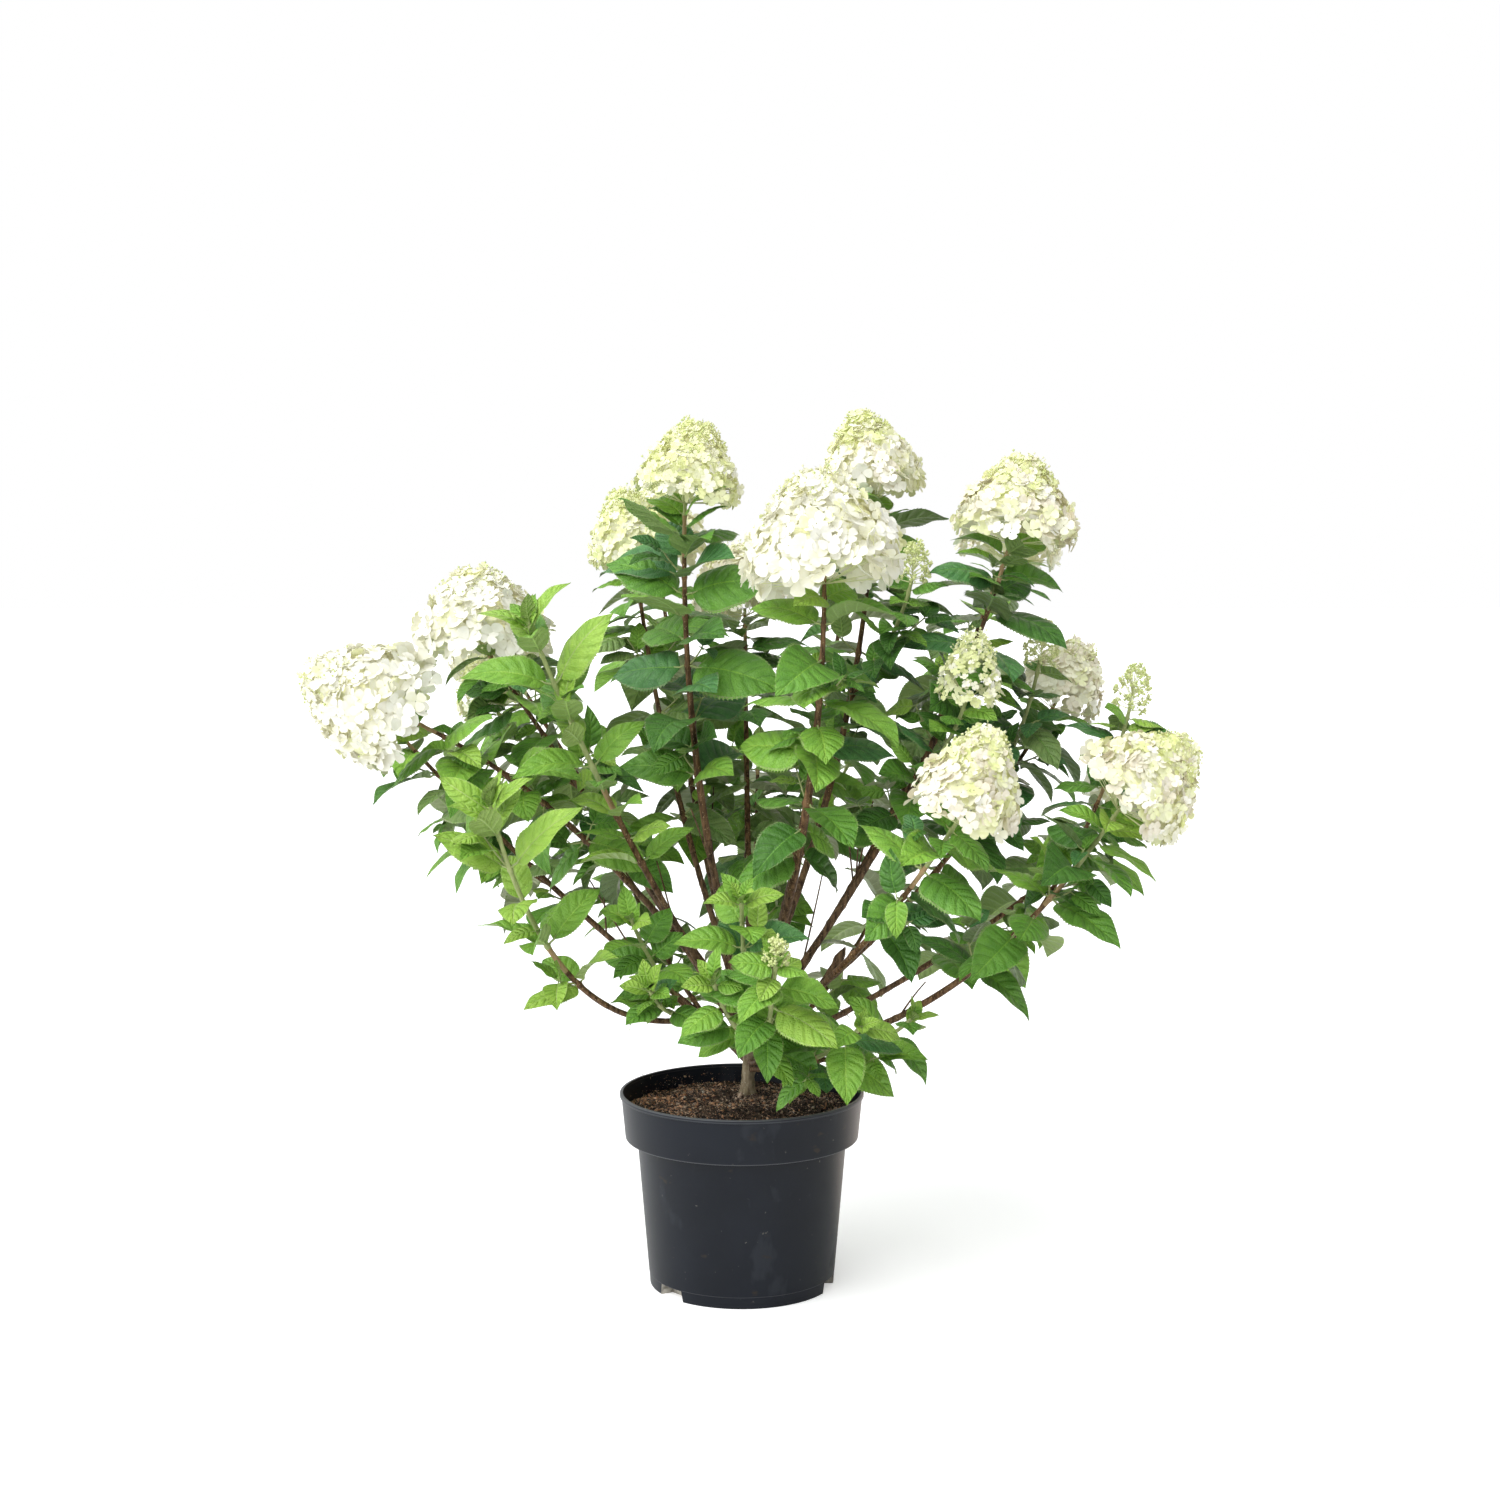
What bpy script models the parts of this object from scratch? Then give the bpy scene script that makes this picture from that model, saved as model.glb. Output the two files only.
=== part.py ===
"""A panicle hydrangea in a ten-litre nursery pot, in metres, +Z up.

The origin is the centre of the pot's flat underside, and -Y is the side that a visitor sees.
A short trunk stands in the root ball and forks low down into canes. The bare lower part of each
cane is a bough. Its leafy upper part is a mass: stem, leaves and flower head in one solid.
"""

import math
import random

import bmesh
import bpy
from mathutils import Matrix, Vector
from mathutils.bvhtree import BVHTree

CLEARANCE = 0.0003
WELD = 0.00001
UP = Vector((0, 0, 1))
# A direction that no stem runs along.
SLANT = Vector((0.31, 0.17, 0.93))

# Pot: a moulded shell with a stacking collar on a flat ledge, a beaded rim and three notches.
POT_HEIGHT = 0.222
RIM_RADIUS = 0.140
BASE_RADIUS = 0.1058
POT_WALL = 0.0025
BEAD = 0.0035
COLLAR_DEPTH = 0.052
COLLAR_FOOT_RADIUS = 0.1334
SHOULDER_RADIUS = 0.1200
SHOULDER_DROP = 0.0015
ROUND_STEPS = 36
NOTCH_COUNT = 3
NOTCH_TURN = math.radians(-49)
NOTCH_WIDTH = 0.045
NOTCH_HEIGHT = 0.0128
NOTCH_DEPTH = 0.014

# Root ball: compost that fills the pot and rises in a low mound to the trunk.
SOIL_EDGE = 0.196
SOIL_CROWN = 0.210
MOUND_FLAT = 0.045
MOUND_RADIUS = 0.070
MOUND_FOOT = 0.204

# Trunk: a short woody foot with a root flare, cut flat on the soil and knuckled at its fork.
TRUNK_FOOT = Vector((0.006, 0.030, SOIL_CROWN + CLEARANCE))
TRUNK_TOP = Vector((0.011, 0.026, 0.292))
TRUNK_RADII = (0.0110, 0.0088, 0.0078, 0.0080, 0.0098, 0.0092)
TRUNK_SIDES = 10
TRUNK_CUT = 0.004

# Canes: (name, parent, place along the parent, tip, outward bow, arch, sideways bow,
# foot radius, share of the length that is bare, longest leaf).
# A cane is one smooth curve from its parent to its tip, and its middle stands off the straight
# line between them by the three bows.
CANES = (
    ("tall_centre", "trunk", 0.98, (0.088, -0.150, 0.816), 0.050, 0.000, 0.000, 0.0068, 0.36, 0.108),
    ("tall_left", "trunk", 0.95, (-0.062, -0.050, 0.900), 0.034, 0.000, 0.000, 0.0052, 0.38, 0.122),
    ("top_right", "tall_centre", 0.20, (0.153, 0.100, 0.909), 0.040, 0.000, 0.000, 0.0046, 0.34, 0.108),
    ("right_upper", "trunk", 0.90, (0.307, 0.020, 0.857), 0.030, -0.010, 0.000, 0.0048, 0.38, 0.108),
    ("right_mid", "trunk", 0.80, (0.377, 0.160, 0.658), 0.010, -0.035, 0.000, 0.0042, 0.44, 0.106),
    ("far_right", "trunk", 0.55, (0.418, -0.096, 0.566), 0.020, -0.062, 0.000, 0.0044, 0.40, 0.104),
    ("front_right", "trunk", 0.82, (0.222, -0.296, 0.575), 0.010, -0.020, 0.000, 0.0040, 0.40, 0.096),
    ("far_left", "trunk", 0.86, (-0.376, -0.080, 0.659), 0.000, 0.052, 0.000, 0.0046, 0.42, 0.104),
    ("left_upper", "trunk", 0.93, (-0.305, 0.080, 0.735), 0.010, 0.010, 0.000, 0.0042, 0.40, 0.104),
    ("left_shoot", "trunk", 0.78, (-0.227, -0.140, 0.763), 0.022, -0.012, 0.020, 0.0042, 0.42, 0.102),
    ("low_left", "left_shoot", 0.10, (-0.263, -0.200, 0.574), 0.036, -0.086, 0.000, 0.0036, 0.38, 0.100),
    ("back_left", "trunk", 0.92, (-0.128, 0.158, 0.830), 0.026, 0.000, 0.000, 0.0040, 0.38, 0.106),
    ("back_centre", "trunk", 0.94, (0.003, 0.240, 0.768), 0.020, 0.000, 0.000, 0.0042, 0.38, 0.104),
    ("back_tall", "trunk", 0.84, (0.136, 0.369, 0.833), 0.040, 0.000, 0.000, 0.0046, 0.38, 0.108),
    ("back_mid", "trunk", 0.74, (-0.108, 0.350, 0.836), 0.040, 0.000, 0.000, 0.0044, 0.38, 0.108),
    ("back_right", "trunk", 0.70, (0.335, 0.320, 0.838), 0.030, -0.010, 0.000, 0.0044, 0.38, 0.108),
    ("back_far_left", "trunk", 0.66, (-0.306, 0.316, 0.709), 0.020, 0.020, 0.000, 0.0042, 0.40, 0.104),
    ("back_far_right", "trunk", 0.52, (0.482, 0.229, 0.526), 0.020, -0.020, 0.000, 0.0040, 0.40, 0.104),
    ("side_left", "trunk", 0.58, (-0.428, 0.174, 0.633), 0.020, 0.000, 0.000, 0.0040, 0.40, 0.100),
    ("back_low", "trunk", 0.60, (0.020, 0.440, 0.580), 0.030, -0.020, 0.000, 0.0040, 0.38, 0.106),
    ("front_mid", "trunk", 0.48, (0.036, -0.262, 0.420), 0.024, -0.030, 0.000, 0.0030, 0.34, 0.086),
    ("front_rosette", "trunk", 0.70, (0.000, -0.178, 0.470), 0.012, -0.010, 0.000, 0.0030, 0.42, 0.076),
    ("low_right", "trunk", 0.36, (0.126, -0.200, 0.338), 0.020, -0.008, 0.000, 0.0030, 0.34, 0.086),
    ("low_inner", "trunk", 0.62, (-0.120, -0.122, 0.440), 0.016, -0.016, 0.000, 0.0028, 0.36, 0.072),
    ("low_back", "trunk", 0.44, (-0.150, 0.330, 0.430), 0.020, -0.020, 0.000, 0.0030, 0.36, 0.092),
    ("low_behind", "trunk", 0.40, (0.190, 0.320, 0.420), 0.020, -0.020, 0.000, 0.0030, 0.36, 0.092),
)
TIP_RADIUS = 0.0024
STEM_END = 0.8
BOUGH_POINTS = 5
BOUGH_SIDES = 5
STEM_SIDES = 3
JOINT_COLLAR = 0.004

# Side shoots inside a mass: (mass, place along its cane, tip, outward bow, arch, longest leaf).
SIDE_SHOOTS = (
    ("top_right", 0.56, (0.193, 0.020, 0.807), 0.012, 0.000, 0.076),
    ("right_upper", 0.50, (0.250, -0.060, 0.682), 0.014, 0.000, 0.084),
    ("right_mid", 0.66, (0.343, 0.050, 0.714), 0.014, 0.000, 0.084),
    ("far_right", 0.72, (0.446, 0.040, 0.662), 0.020, 0.000, 0.080),
    ("left_upper", 0.62, (-0.300, 0.165, 0.655), 0.020, 0.000, 0.080),
    ("front_mid", 0.45, (-0.030, -0.215, 0.392), 0.010, -0.006, 0.070),
    ("low_right", 0.45, (0.185, -0.120, 0.330), 0.012, -0.006, 0.078),
    ("low_inner", 0.45, (-0.098, -0.165, 0.372), 0.010, -0.010, 0.064),
    ("back_low", 0.50, (0.140, 0.420, 0.560), 0.014, 0.000, 0.096),
    ("side_left", 0.52, (-0.360, 0.215, 0.520), 0.014, 0.000, 0.096),
)

# Flower heads: (mass, shoot number, way its axis points, length, width).
HEADS = (
    ("tall_centre", 0, (-0.10, 0.10, 1.0), 0.134, 0.168),
    ("tall_left", 0, (0.20, 0.00, 1.0), 0.104, 0.116),
    ("top_right", 0, (-0.18, 0.05, 1.0), 0.116, 0.122),
    ("right_upper", 0, (0.16, 0.00, 1.0), 0.114, 0.140),
    ("right_mid", 0, (0.45, 0.05, 1.0), 0.100, 0.098),
    ("far_right", 0, (0.75, -0.10, 0.7), 0.124, 0.136),
    ("front_right", 0, (0.30, -0.10, 0.9), 0.118, 0.110),
    ("far_left", 0, (-0.85, -0.20, 0.45), 0.138, 0.138),
    ("left_upper", 0, (-0.06, 0.00, 1.0), 0.104, 0.152),
    ("back_left", 0, (-0.20, 0.10, 1.0), 0.106, 0.104),
    ("back_centre", 0, (-0.30, 0.20, 1.0), 0.104, 0.122),
    ("back_tall", 0, (0.05, 0.25, 1.0), 0.128, 0.136),
    ("back_mid", 0, (-0.10, 0.25, 1.0), 0.120, 0.124),
    ("back_right", 0, (0.25, 0.25, 1.0), 0.112, 0.128),
    ("back_far_left", 0, (-0.40, 0.35, 0.9), 0.116, 0.136),
    ("back_far_right", 0, (0.60, 0.30, 0.8), 0.110, 0.132),
    ("side_left", 0, (-0.75, 0.15, 0.7), 0.108, 0.122),
    ("top_right", 1, (0.10, -0.05, 1.0), 0.050, 0.046),
    ("right_upper", 1, (0.12, -0.10, 1.0), 0.086, 0.070),
    ("right_mid", 1, (0.15, 0.00, 1.0), 0.054, 0.046),
    ("far_right", 1, (0.15, 0.00, 1.0), 0.056, 0.052),
    ("left_upper", 1, (-0.30, 0.10, 0.8), 0.070, 0.086),
)
SMALL_HEAD = 0.060
HEAD_STEPS = (10, 7)
SMALL_HEAD_STEPS = (6, 4)
HEAD_JITTER = 0.07
HEAD_SINK = 0.14
HEAD_BELLY = 0.58
HEAD_ROUND = 0.65
HEAD_HOLLOW = 0.06
HEAD_HOLLOW_REACH = 0.12

# Leaves: where they stand on a shoot, how they point, and the blade.
TOP_NODE = 0.008
LOWEST_NODE = 0.014
TOP_GAP = 0.030
NODE_GAP = 0.062
GAP_GROWTH = 1.22
TRIPLE_SHARE = 0.20
NODE_TWIST = 0.25
ROOT_OFFSET = 0.0005
FLATTENING = 0.5
TIP_LIFT = (0.25, 0.55)
LIFT_LOSS = 0.12
LOWEST_LIFT = 4
DROOP = (0.05, 0.60)

# Young and vigorous shoots hold their leaves up, by this much more than the others.
UPHELD = {
    "left_shoot": 0.60,
    "low_left": 0.60,
    "tall_left": 0.35,
    "front_rosette": 0.35,
    "low_inner": 0.30,
    "top_right": 0.20,
    "right_upper": 0.20,
}
FACE_OUT = (0.1, 0.7)
FACE_SWAY = 0.4
LIGHT_PULL = Vector((0, -0.35, 0))
YOUNG_SHARES = (0.62, 0.84)
FOOT_LOSS = 0.28
LENGTH_SPREAD = (0.88, 1.06)
WIDTH_SPREAD = (0.9, 1.1)
LEAF_TRIES = 5
RETRY_SWING = 0.7
RETRY_LIFT = 0.3
RETRY_SIZE = (0.72, 0.92)
LEAF_WIDTH_SHARE = 0.56
LEAF_THICKNESS = 0.0018
LEAF_WIDEST = 0.48
LEAF_FOLD = 0.06
LEAF_ARCH = 0.06

# No leaf hangs between the trunk and a visitor who stands here.
VISITOR = Vector((0.009, -2.56, 0.84))
VIEW_WIDTH = 0.018
VIEW_TOP = 0.258
VIEW_REACH = 0.2


def clear_scene():
    for obj in list(bpy.data.objects):
        bpy.data.objects.remove(obj, do_unlink=True)


def new_collection(name, shown=True):
    collection = bpy.data.collections.new(name)
    collection.hide_render = not shown
    bpy.context.scene.collection.children.link(collection)
    return collection


def material(name, colour, roughness):
    made = bpy.data.materials.new(name)
    made.use_nodes = True
    shader = made.node_tree.nodes["Principled BSDF"]
    shader.inputs["Base Color"].default_value = (*colour, 1)
    shader.inputs["Roughness"].default_value = roughness
    shader.inputs["Metallic"].default_value = 0
    made.diffuse_color = (*colour, 1)
    return made


def mesh_object(name, mesh, collection, finish=None):
    obj = bpy.data.objects.new(name, mesh)
    collection.objects.link(obj)
    if finish:
        mesh.materials.append(finish)
    return obj


def as_cutter(obj):
    obj.hide_render = True
    obj.display_type = "WIRE"
    return obj


def boolean(obj, operation, other, solver="EXACT"):
    modifier = obj.modifiers.new(operation.lower(), "BOOLEAN")
    modifier.operation = operation
    modifier.solver = solver
    if isinstance(other, bpy.types.Collection):
        modifier.operand_type = "COLLECTION"
        modifier.collection = other
    else:
        modifier.object = other


def evaluated_mesh(obj):
    """The object's mesh as the viewport shows it, in world space, with its modifiers applied."""
    bpy.context.view_layer.update()
    shown = obj.evaluated_get(bpy.context.evaluated_depsgraph_get())
    mesh = bpy.data.meshes.new_from_object(shown)
    mesh.transform(obj.matrix_world)
    return mesh


def largest_body(mesh):
    """Drops loose scraps and fills sealed hollows: only the body with most corners stays."""
    bm = bmesh.new()
    bm.from_mesh(mesh)
    left, bodies = set(bm.verts), []
    while left:
        body, edge = set(), [left.pop()]
        while edge:
            vert = edge.pop()
            body.add(vert)
            near = {link.other_vert(vert) for link in vert.link_edges} & left
            left -= near
            edge.extend(near)
        bodies.append(body)
    bodies.sort(key=len)
    for body in bodies[:-1]:
        bmesh.ops.delete(bm, geom=list(body), context="VERTS")
    bm.to_mesh(mesh)
    bm.free()
    return mesh


def apply_modifiers(obj, finish):
    obj.data = largest_body(evaluated_mesh(obj))
    obj.modifiers.clear()
    obj.data.materials.clear()
    obj.data.materials.append(finish)


# The pot and the root ball in it.
def turned(name, profile, collection, finish=None):
    """A solid of revolution about Z. The profile runs down its outer side, from axis to axis."""
    mesh = bpy.data.meshes.new(name)
    points = [(radius, 0, height) for radius, height in profile]
    mesh.from_pydata(points, [(i, i + 1) for i in range(len(points) - 1)], [])
    obj = mesh_object(name, mesh, collection, finish)
    screw = obj.modifiers.new("turn", "SCREW")
    screw.axis = "Z"
    screw.angle = math.tau
    screw.steps = screw.render_steps = ROUND_STEPS
    screw.use_merge_vertices = True
    screw.merge_threshold = 0.0001
    screw.use_smooth_shade = True
    return obj


def bead_profile():
    """The rolled lip, from its top to where it meets the collar."""
    middle = POT_HEIGHT - BEAD
    return [
        (RIM_RADIUS - BEAD, POT_HEIGHT),
        (RIM_RADIUS - BEAD / 4, POT_HEIGHT - BEAD / 8),
        (RIM_RADIUS, middle),
        (RIM_RADIUS - BEAD / 4, middle - BEAD),
    ]


def wall_profile(inset):
    """The pot's wall under its lip: collar, ledge and body, moved inwards and up by inset."""
    ledge = POT_HEIGHT - COLLAR_DEPTH + inset
    return [
        (RIM_RADIUS - BEAD / 2 - inset, POT_HEIGHT - 5 * BEAD / 2),
        (COLLAR_FOOT_RADIUS - inset, ledge),
        (SHOULDER_RADIUS - inset, ledge - SHOULDER_DROP),
        (BASE_RADIUS - inset, 0),
    ]


def collar_radius(height, inset):
    """The radius of the inset wall at a height of its collar."""
    (high_radius, high), (low_radius, low) = wall_profile(inset)[:2]
    return low_radius + (high_radius - low_radius) * (height - low) / (high - low)


def notch_boxes(name, grown, collection):
    """One box for each drainage notch, grown on every side that faces the pot."""
    boxes = []
    inner = BASE_RADIUS - NOTCH_DEPTH - grown
    outer = 1.5 * BASE_RADIUS
    size = Vector((NOTCH_WIDTH + 2 * grown, outer - inner, 2 * NOTCH_HEIGHT + grown))
    middle = Vector((0, -(inner + outer) / 2, size.z / 2 - NOTCH_HEIGHT))
    for i in range(NOTCH_COUNT):
        bm = bmesh.new()
        bmesh.ops.create_cube(bm, size=1, matrix=Matrix.LocRotScale(middle, None, size))
        turn = Matrix.Rotation(NOTCH_TURN + math.tau * i / NOTCH_COUNT, 3, "Z")
        bmesh.ops.rotate(bm, verts=bm.verts, matrix=turn)
        mesh = bpy.data.meshes.new(name)
        bm.to_mesh(mesh)
        bm.free()
        boxes.append(as_cutter(mesh_object(f"{name}_{i}", mesh, collection)))
    return boxes


def make_pot(parts, cutters, finish):
    """The shell, with the notches' housings standing inside it as they do on a moulded pot."""
    inner = wall_profile(POT_WALL)
    lip_radius = RIM_RADIUS - BEAD
    above = POT_HEIGHT + BEAD
    hollow = [(0, above), (lip_radius, above), (lip_radius, POT_HEIGHT - BEAD), *inner[:-1]]
    hollow += [(inner[-1][0], POT_WALL), (0, POT_WALL)]
    cavity = as_cutter(turned("pot_cavity", hollow, cutters))
    for box in notch_boxes("notch_housing", POT_WALL, cutters):
        boolean(cavity, "DIFFERENCE", box)
    outline = [(0, POT_HEIGHT), *bead_profile(), *wall_profile(0), (0, 0)]
    pot = turned("pot", outline, parts, finish)
    boolean(pot, "DIFFERENCE", cavity)
    for box in notch_boxes("notch", 0, cutters):
        boolean(pot, "DIFFERENCE", box)
    return pot


def make_root_ball(parts, cutters, finish):
    inset = POT_WALL + CLEARANCE
    inner = wall_profile(inset)
    profile = [(0, SOIL_CROWN), (MOUND_FLAT, SOIL_CROWN), (MOUND_RADIUS, MOUND_FOOT)]
    profile += [(collar_radius(SOIL_EDGE, inset), SOIL_EDGE), *inner[1:-1]]
    profile += [(inner[-1][0], inset), (0, inset)]
    ball = turned("root_ball", profile, parts, finish)
    for box in notch_boxes("ball_notch", inset + CLEARANCE, cutters):
        boolean(ball, "DIFFERENCE", box)
    return ball


# Curves, tubes and the space that solids take.
class Cane:
    """A smooth curve from start to tip that bows off the straight line between them."""

    SAMPLES = 64

    def __init__(self, start, tip, out=0.0, arch=0.0, side=0.0):
        chord = tip - start
        heading = Vector((chord.x, chord.y, 0)).normalized()
        across = UP.cross(heading)
        handle = (start + tip) / 2 + 2 * (heading * out + UP * arch + across * side)
        shares = [i / self.SAMPLES for i in range(self.SAMPLES + 1)]
        self.points = [start * (1 - t) ** 2 + handle * 2 * t * (1 - t) + tip * t * t for t in shares]
        self.marks = [0.0]
        for a, b in zip(self.points, self.points[1:]):
            self.marks.append(self.marks[-1] + (b - a).length)
        self.length = self.marks[-1]

    def at(self, distance):
        """The point at a distance along the curve."""
        distance = min(max(distance, 0.0), self.length)
        i = 1
        while i < self.SAMPLES and self.marks[i] < distance:
            i += 1
        share = (distance - self.marks[i - 1]) / (self.marks[i] - self.marks[i - 1])
        return self.points[i - 1].lerp(self.points[i], share)

    def direction(self, distance):
        step = self.length / self.SAMPLES
        return (self.at(distance + step) - self.at(distance - step)).normalized()


def taper(low, high, count):
    return [low + (high - low) * i / (count - 1) for i in range(count)]


def bare_radius(foot_radius, bare):
    """A cane's radius at the top of its bare part."""
    return foot_radius + (TIP_RADIUS - foot_radius) * bare


def poly_curve(name, points, radii, cyclic=False):
    curve = bpy.data.curves.new(name, "CURVE")
    curve.dimensions = "3D"
    spline = curve.splines.new("POLY")
    spline.points.add(len(points) - 1)
    spline.use_cyclic_u = cyclic
    for knot, point, radius in zip(spline.points, points, radii):
        knot.co = (*point, 1)
        knot.radius = radius
    obj = bpy.data.objects.new(name, curve)
    bpy.context.scene.collection.objects.link(obj)
    return obj


def tube_mesh(points, radii, sides):
    """A closed tube: a curve with a ring of so many sides as its bevel, and its caps welded on."""
    corners = [Matrix.Rotation(math.tau * i / sides, 3, "Z") @ Vector((1, 0, 0)) for i in range(sides)]
    ring = poly_curve("ring", corners, [1] * sides, cyclic=True)
    tube = poly_curve("tube", points, radii)
    tube.data.bevel_mode = "OBJECT"
    tube.data.bevel_object = ring
    tube.data.use_fill_caps = True
    mesh = evaluated_mesh(tube)
    for obj in (tube, ring):
        curve = obj.data
        bpy.data.objects.remove(obj)
        bpy.data.curves.remove(curve)
    bm = bmesh.new()
    bm.from_mesh(mesh)
    bmesh.ops.remove_doubles(bm, verts=bm.verts, dist=WELD)
    bmesh.ops.recalc_face_normals(bm, faces=bm.faces)
    bm.to_mesh(mesh)
    bm.free()
    return mesh


def tree_of(mesh):
    mesh.calc_loop_triangles()
    corners = [vert.co.copy() for vert in mesh.vertices]
    return BVHTree.FromPolygons(corners, [tuple(face.vertices) for face in mesh.loop_triangles])


def box_of(mesh):
    places = [vert.co for vert in mesh.vertices]
    return [[limit(place[k] for place in places) for k in range(3)] for limit in (min, max)]


class Taken:
    """The space that solids already fill, to keep later ones clear of them."""

    def __init__(self):
        self.rows = []

    def add(self, owner, mesh):
        self.rows.append((owner, *box_of(mesh), tree_of(mesh)))

    def touches(self, mesh, owner):
        """Whether the mesh meets a solid other than its owner's."""
        low, high = box_of(mesh)
        tree = tree_of(mesh)
        for other, its_low, its_high, its_tree in self.rows:
            if other == owner or any(low[k] > its_high[k] or high[k] < its_low[k] for k in range(3)):
                continue
            if tree.overlap(its_tree):
                return True
        return False


# The trunk and the boughs.
def make_trunk(parts, finish, taken, fat):
    """The trunk's axis; fat keeps a slightly fatter copy, which cuts the boughs clear of it."""
    axis = Cane(TRUNK_FOOT, TRUNK_TOP)
    points = [axis.at(place) for place in taper(0, axis.length, len(TRUNK_RADII))]
    mesh = tube_mesh(points, TRUNK_RADII, TRUNK_SIDES)
    for vert in mesh.vertices:
        if vert.co.z < TRUNK_FOOT.z + TRUNK_CUT:
            vert.co.z = TRUNK_FOOT.z
    mesh_object("trunk", mesh, parts, finish)
    taken.add("trunk", mesh)
    fat["trunk"] = tube_mesh(
        [*points[:-1], points[-1] + UP * 2 * CLEARANCE],
        [radius + 2 * CLEARANCE for radius in TRUNK_RADII],
        TRUNK_SIDES,
    )
    return axis


def cut_clear(bough, finish, fat, stage):
    """Cuts a bough's foot clear of the trunk and of the boughs beside it."""
    tree = tree_of(bough.data)
    for mesh in fat.values():
        if tree.overlap(tree_of(mesh)):
            cutter = as_cutter(mesh_object("cut", mesh.copy(), stage))
            boolean(bough, "DIFFERENCE", cutter, "MANIFOLD")
    apply_modifiers(bough, finish)
    for cutter in list(stage.objects):
        bpy.data.objects.remove(cutter)


def make_boughs(parts, finish, taken, fat, trunk_axis):
    """The bare lower part of every cane. Returns the curves of the whole canes."""
    curves = {"trunk": trunk_axis}
    stage = new_collection("bough_cutters", shown=False)
    for name, parent, along, tip, out, arch, side, foot_radius, bare, _ in CANES:
        root = curves[parent].at(along * curves[parent].length)
        curve = curves[name] = Cane(root, Vector(tip), out, arch, side)
        top, top_radius = curve.length * bare, bare_radius(foot_radius, bare)
        places = [*taper(0, top - JOINT_COLLAR, BOUGH_POINTS), top]
        points = [curve.at(place) for place in places]
        radii = [*taper(foot_radius, top_radius, BOUGH_POINTS), top_radius]
        bough = mesh_object("bough_" + name, tube_mesh(points, radii, BOUGH_SIDES), parts)
        cut_clear(bough, finish, fat, stage)
        bough.data.shade_smooth()
        taken.add("bough_" + name, bough.data)
        beyond = points[-1] + curve.direction(top) * 2 * CLEARANCE
        fat_radii = [radius + 2 * CLEARANCE for radius in radii]
        fat[name] = tube_mesh([*points[:-1], beyond], fat_radii, BOUGH_SIDES)
    bpy.data.collections.remove(stage)
    return curves


# Flower heads.
def head_radius(height):
    """Half the head's width, as a share, at a share of its height: widest low, round on top."""
    return max(math.sin(math.pi * height**HEAD_BELLY), 0.0) ** HEAD_ROUND


def head_mesh(base, aim, length, width, seed):
    """A blunt cone of florets, slightly hollow below: a sphere drawn out to that outline."""
    rng = random.Random(seed)
    segments, rings = SMALL_HEAD_STEPS if length < SMALL_HEAD else HEAD_STEPS
    bm = bmesh.new()
    bmesh.ops.create_uvsphere(bm, u_segments=segments, v_segments=rings, radius=1)
    turn = UP.rotation_difference(aim).to_matrix()
    for vert in bm.verts:
        height = (vert.co.z + 1) / 2
        lump = 1 + rng.uniform(-HEAD_JITTER, HEAD_JITTER)
        flat = Vector((vert.co.x, vert.co.y, 0))
        if flat.length > WELD:
            flat = flat.normalized() * head_radius(height) * width / 2 * lump
        dent = HEAD_HOLLOW * max(0.0, 1 - height / HEAD_HOLLOW_REACH)
        vert.co = base + turn @ (flat + UP * (height + dent) * length)
    mesh = bpy.data.meshes.new("head")
    bm.to_mesh(mesh)
    bm.free()
    return mesh


# Shoots and leaves.
class Shoot:
    """One leafy stem of a mass: its curve, its leaf nodes and its flower head, if it has one."""

    def __init__(self, mass, number, curve, low, longest, radius):
        self.curve, self.low, self.longest, self.radius = curve, low, longest, radius
        self.seed, self.held = f"{mass} {number}", UPHELD.get(mass, 0)
        self.head, high = None, curve.length
        for seed, (head_mass, shoot, aim, length, width) in enumerate(HEADS):
            if (head_mass, shoot) == (mass, number):
                aim = Vector(aim).normalized()
                sunk = HEAD_SINK * length
                high -= sunk
                self.head = (curve.at(curve.length) - aim * sunk, aim, length, width, seed)
        self.nodes, gap, at = [], TOP_GAP, high - TOP_NODE
        while at > low + LOWEST_NODE:
            self.nodes.append(at)
            at -= gap
            gap = min(gap * GAP_GROWTH, NODE_GAP)
        halves = [(a + b) / 2 for a, b in zip(self.nodes, self.nodes[1:])]
        self.breaks = [low + JOINT_COLLAR, *reversed(halves), curve.length]

    def joint(self, at):
        """The middle of the stem at a place along the curve, between two of its breaks."""
        low = max(place for place in self.breaks if place <= at)
        high = min(place for place in self.breaks if place > at)
        return self.curve.at(low).lerp(self.curve.at(high), (at - low) / (high - low))

    def stem(self, start):
        """The stem from a start along the curve, its first cut square across the curve."""
        points = [self.curve.at(place) for place in (start, *self.breaks)]
        return tube_mesh(points, taper(self.radius, TIP_RADIUS * STEM_END, len(points)), STEM_SIDES)


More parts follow.
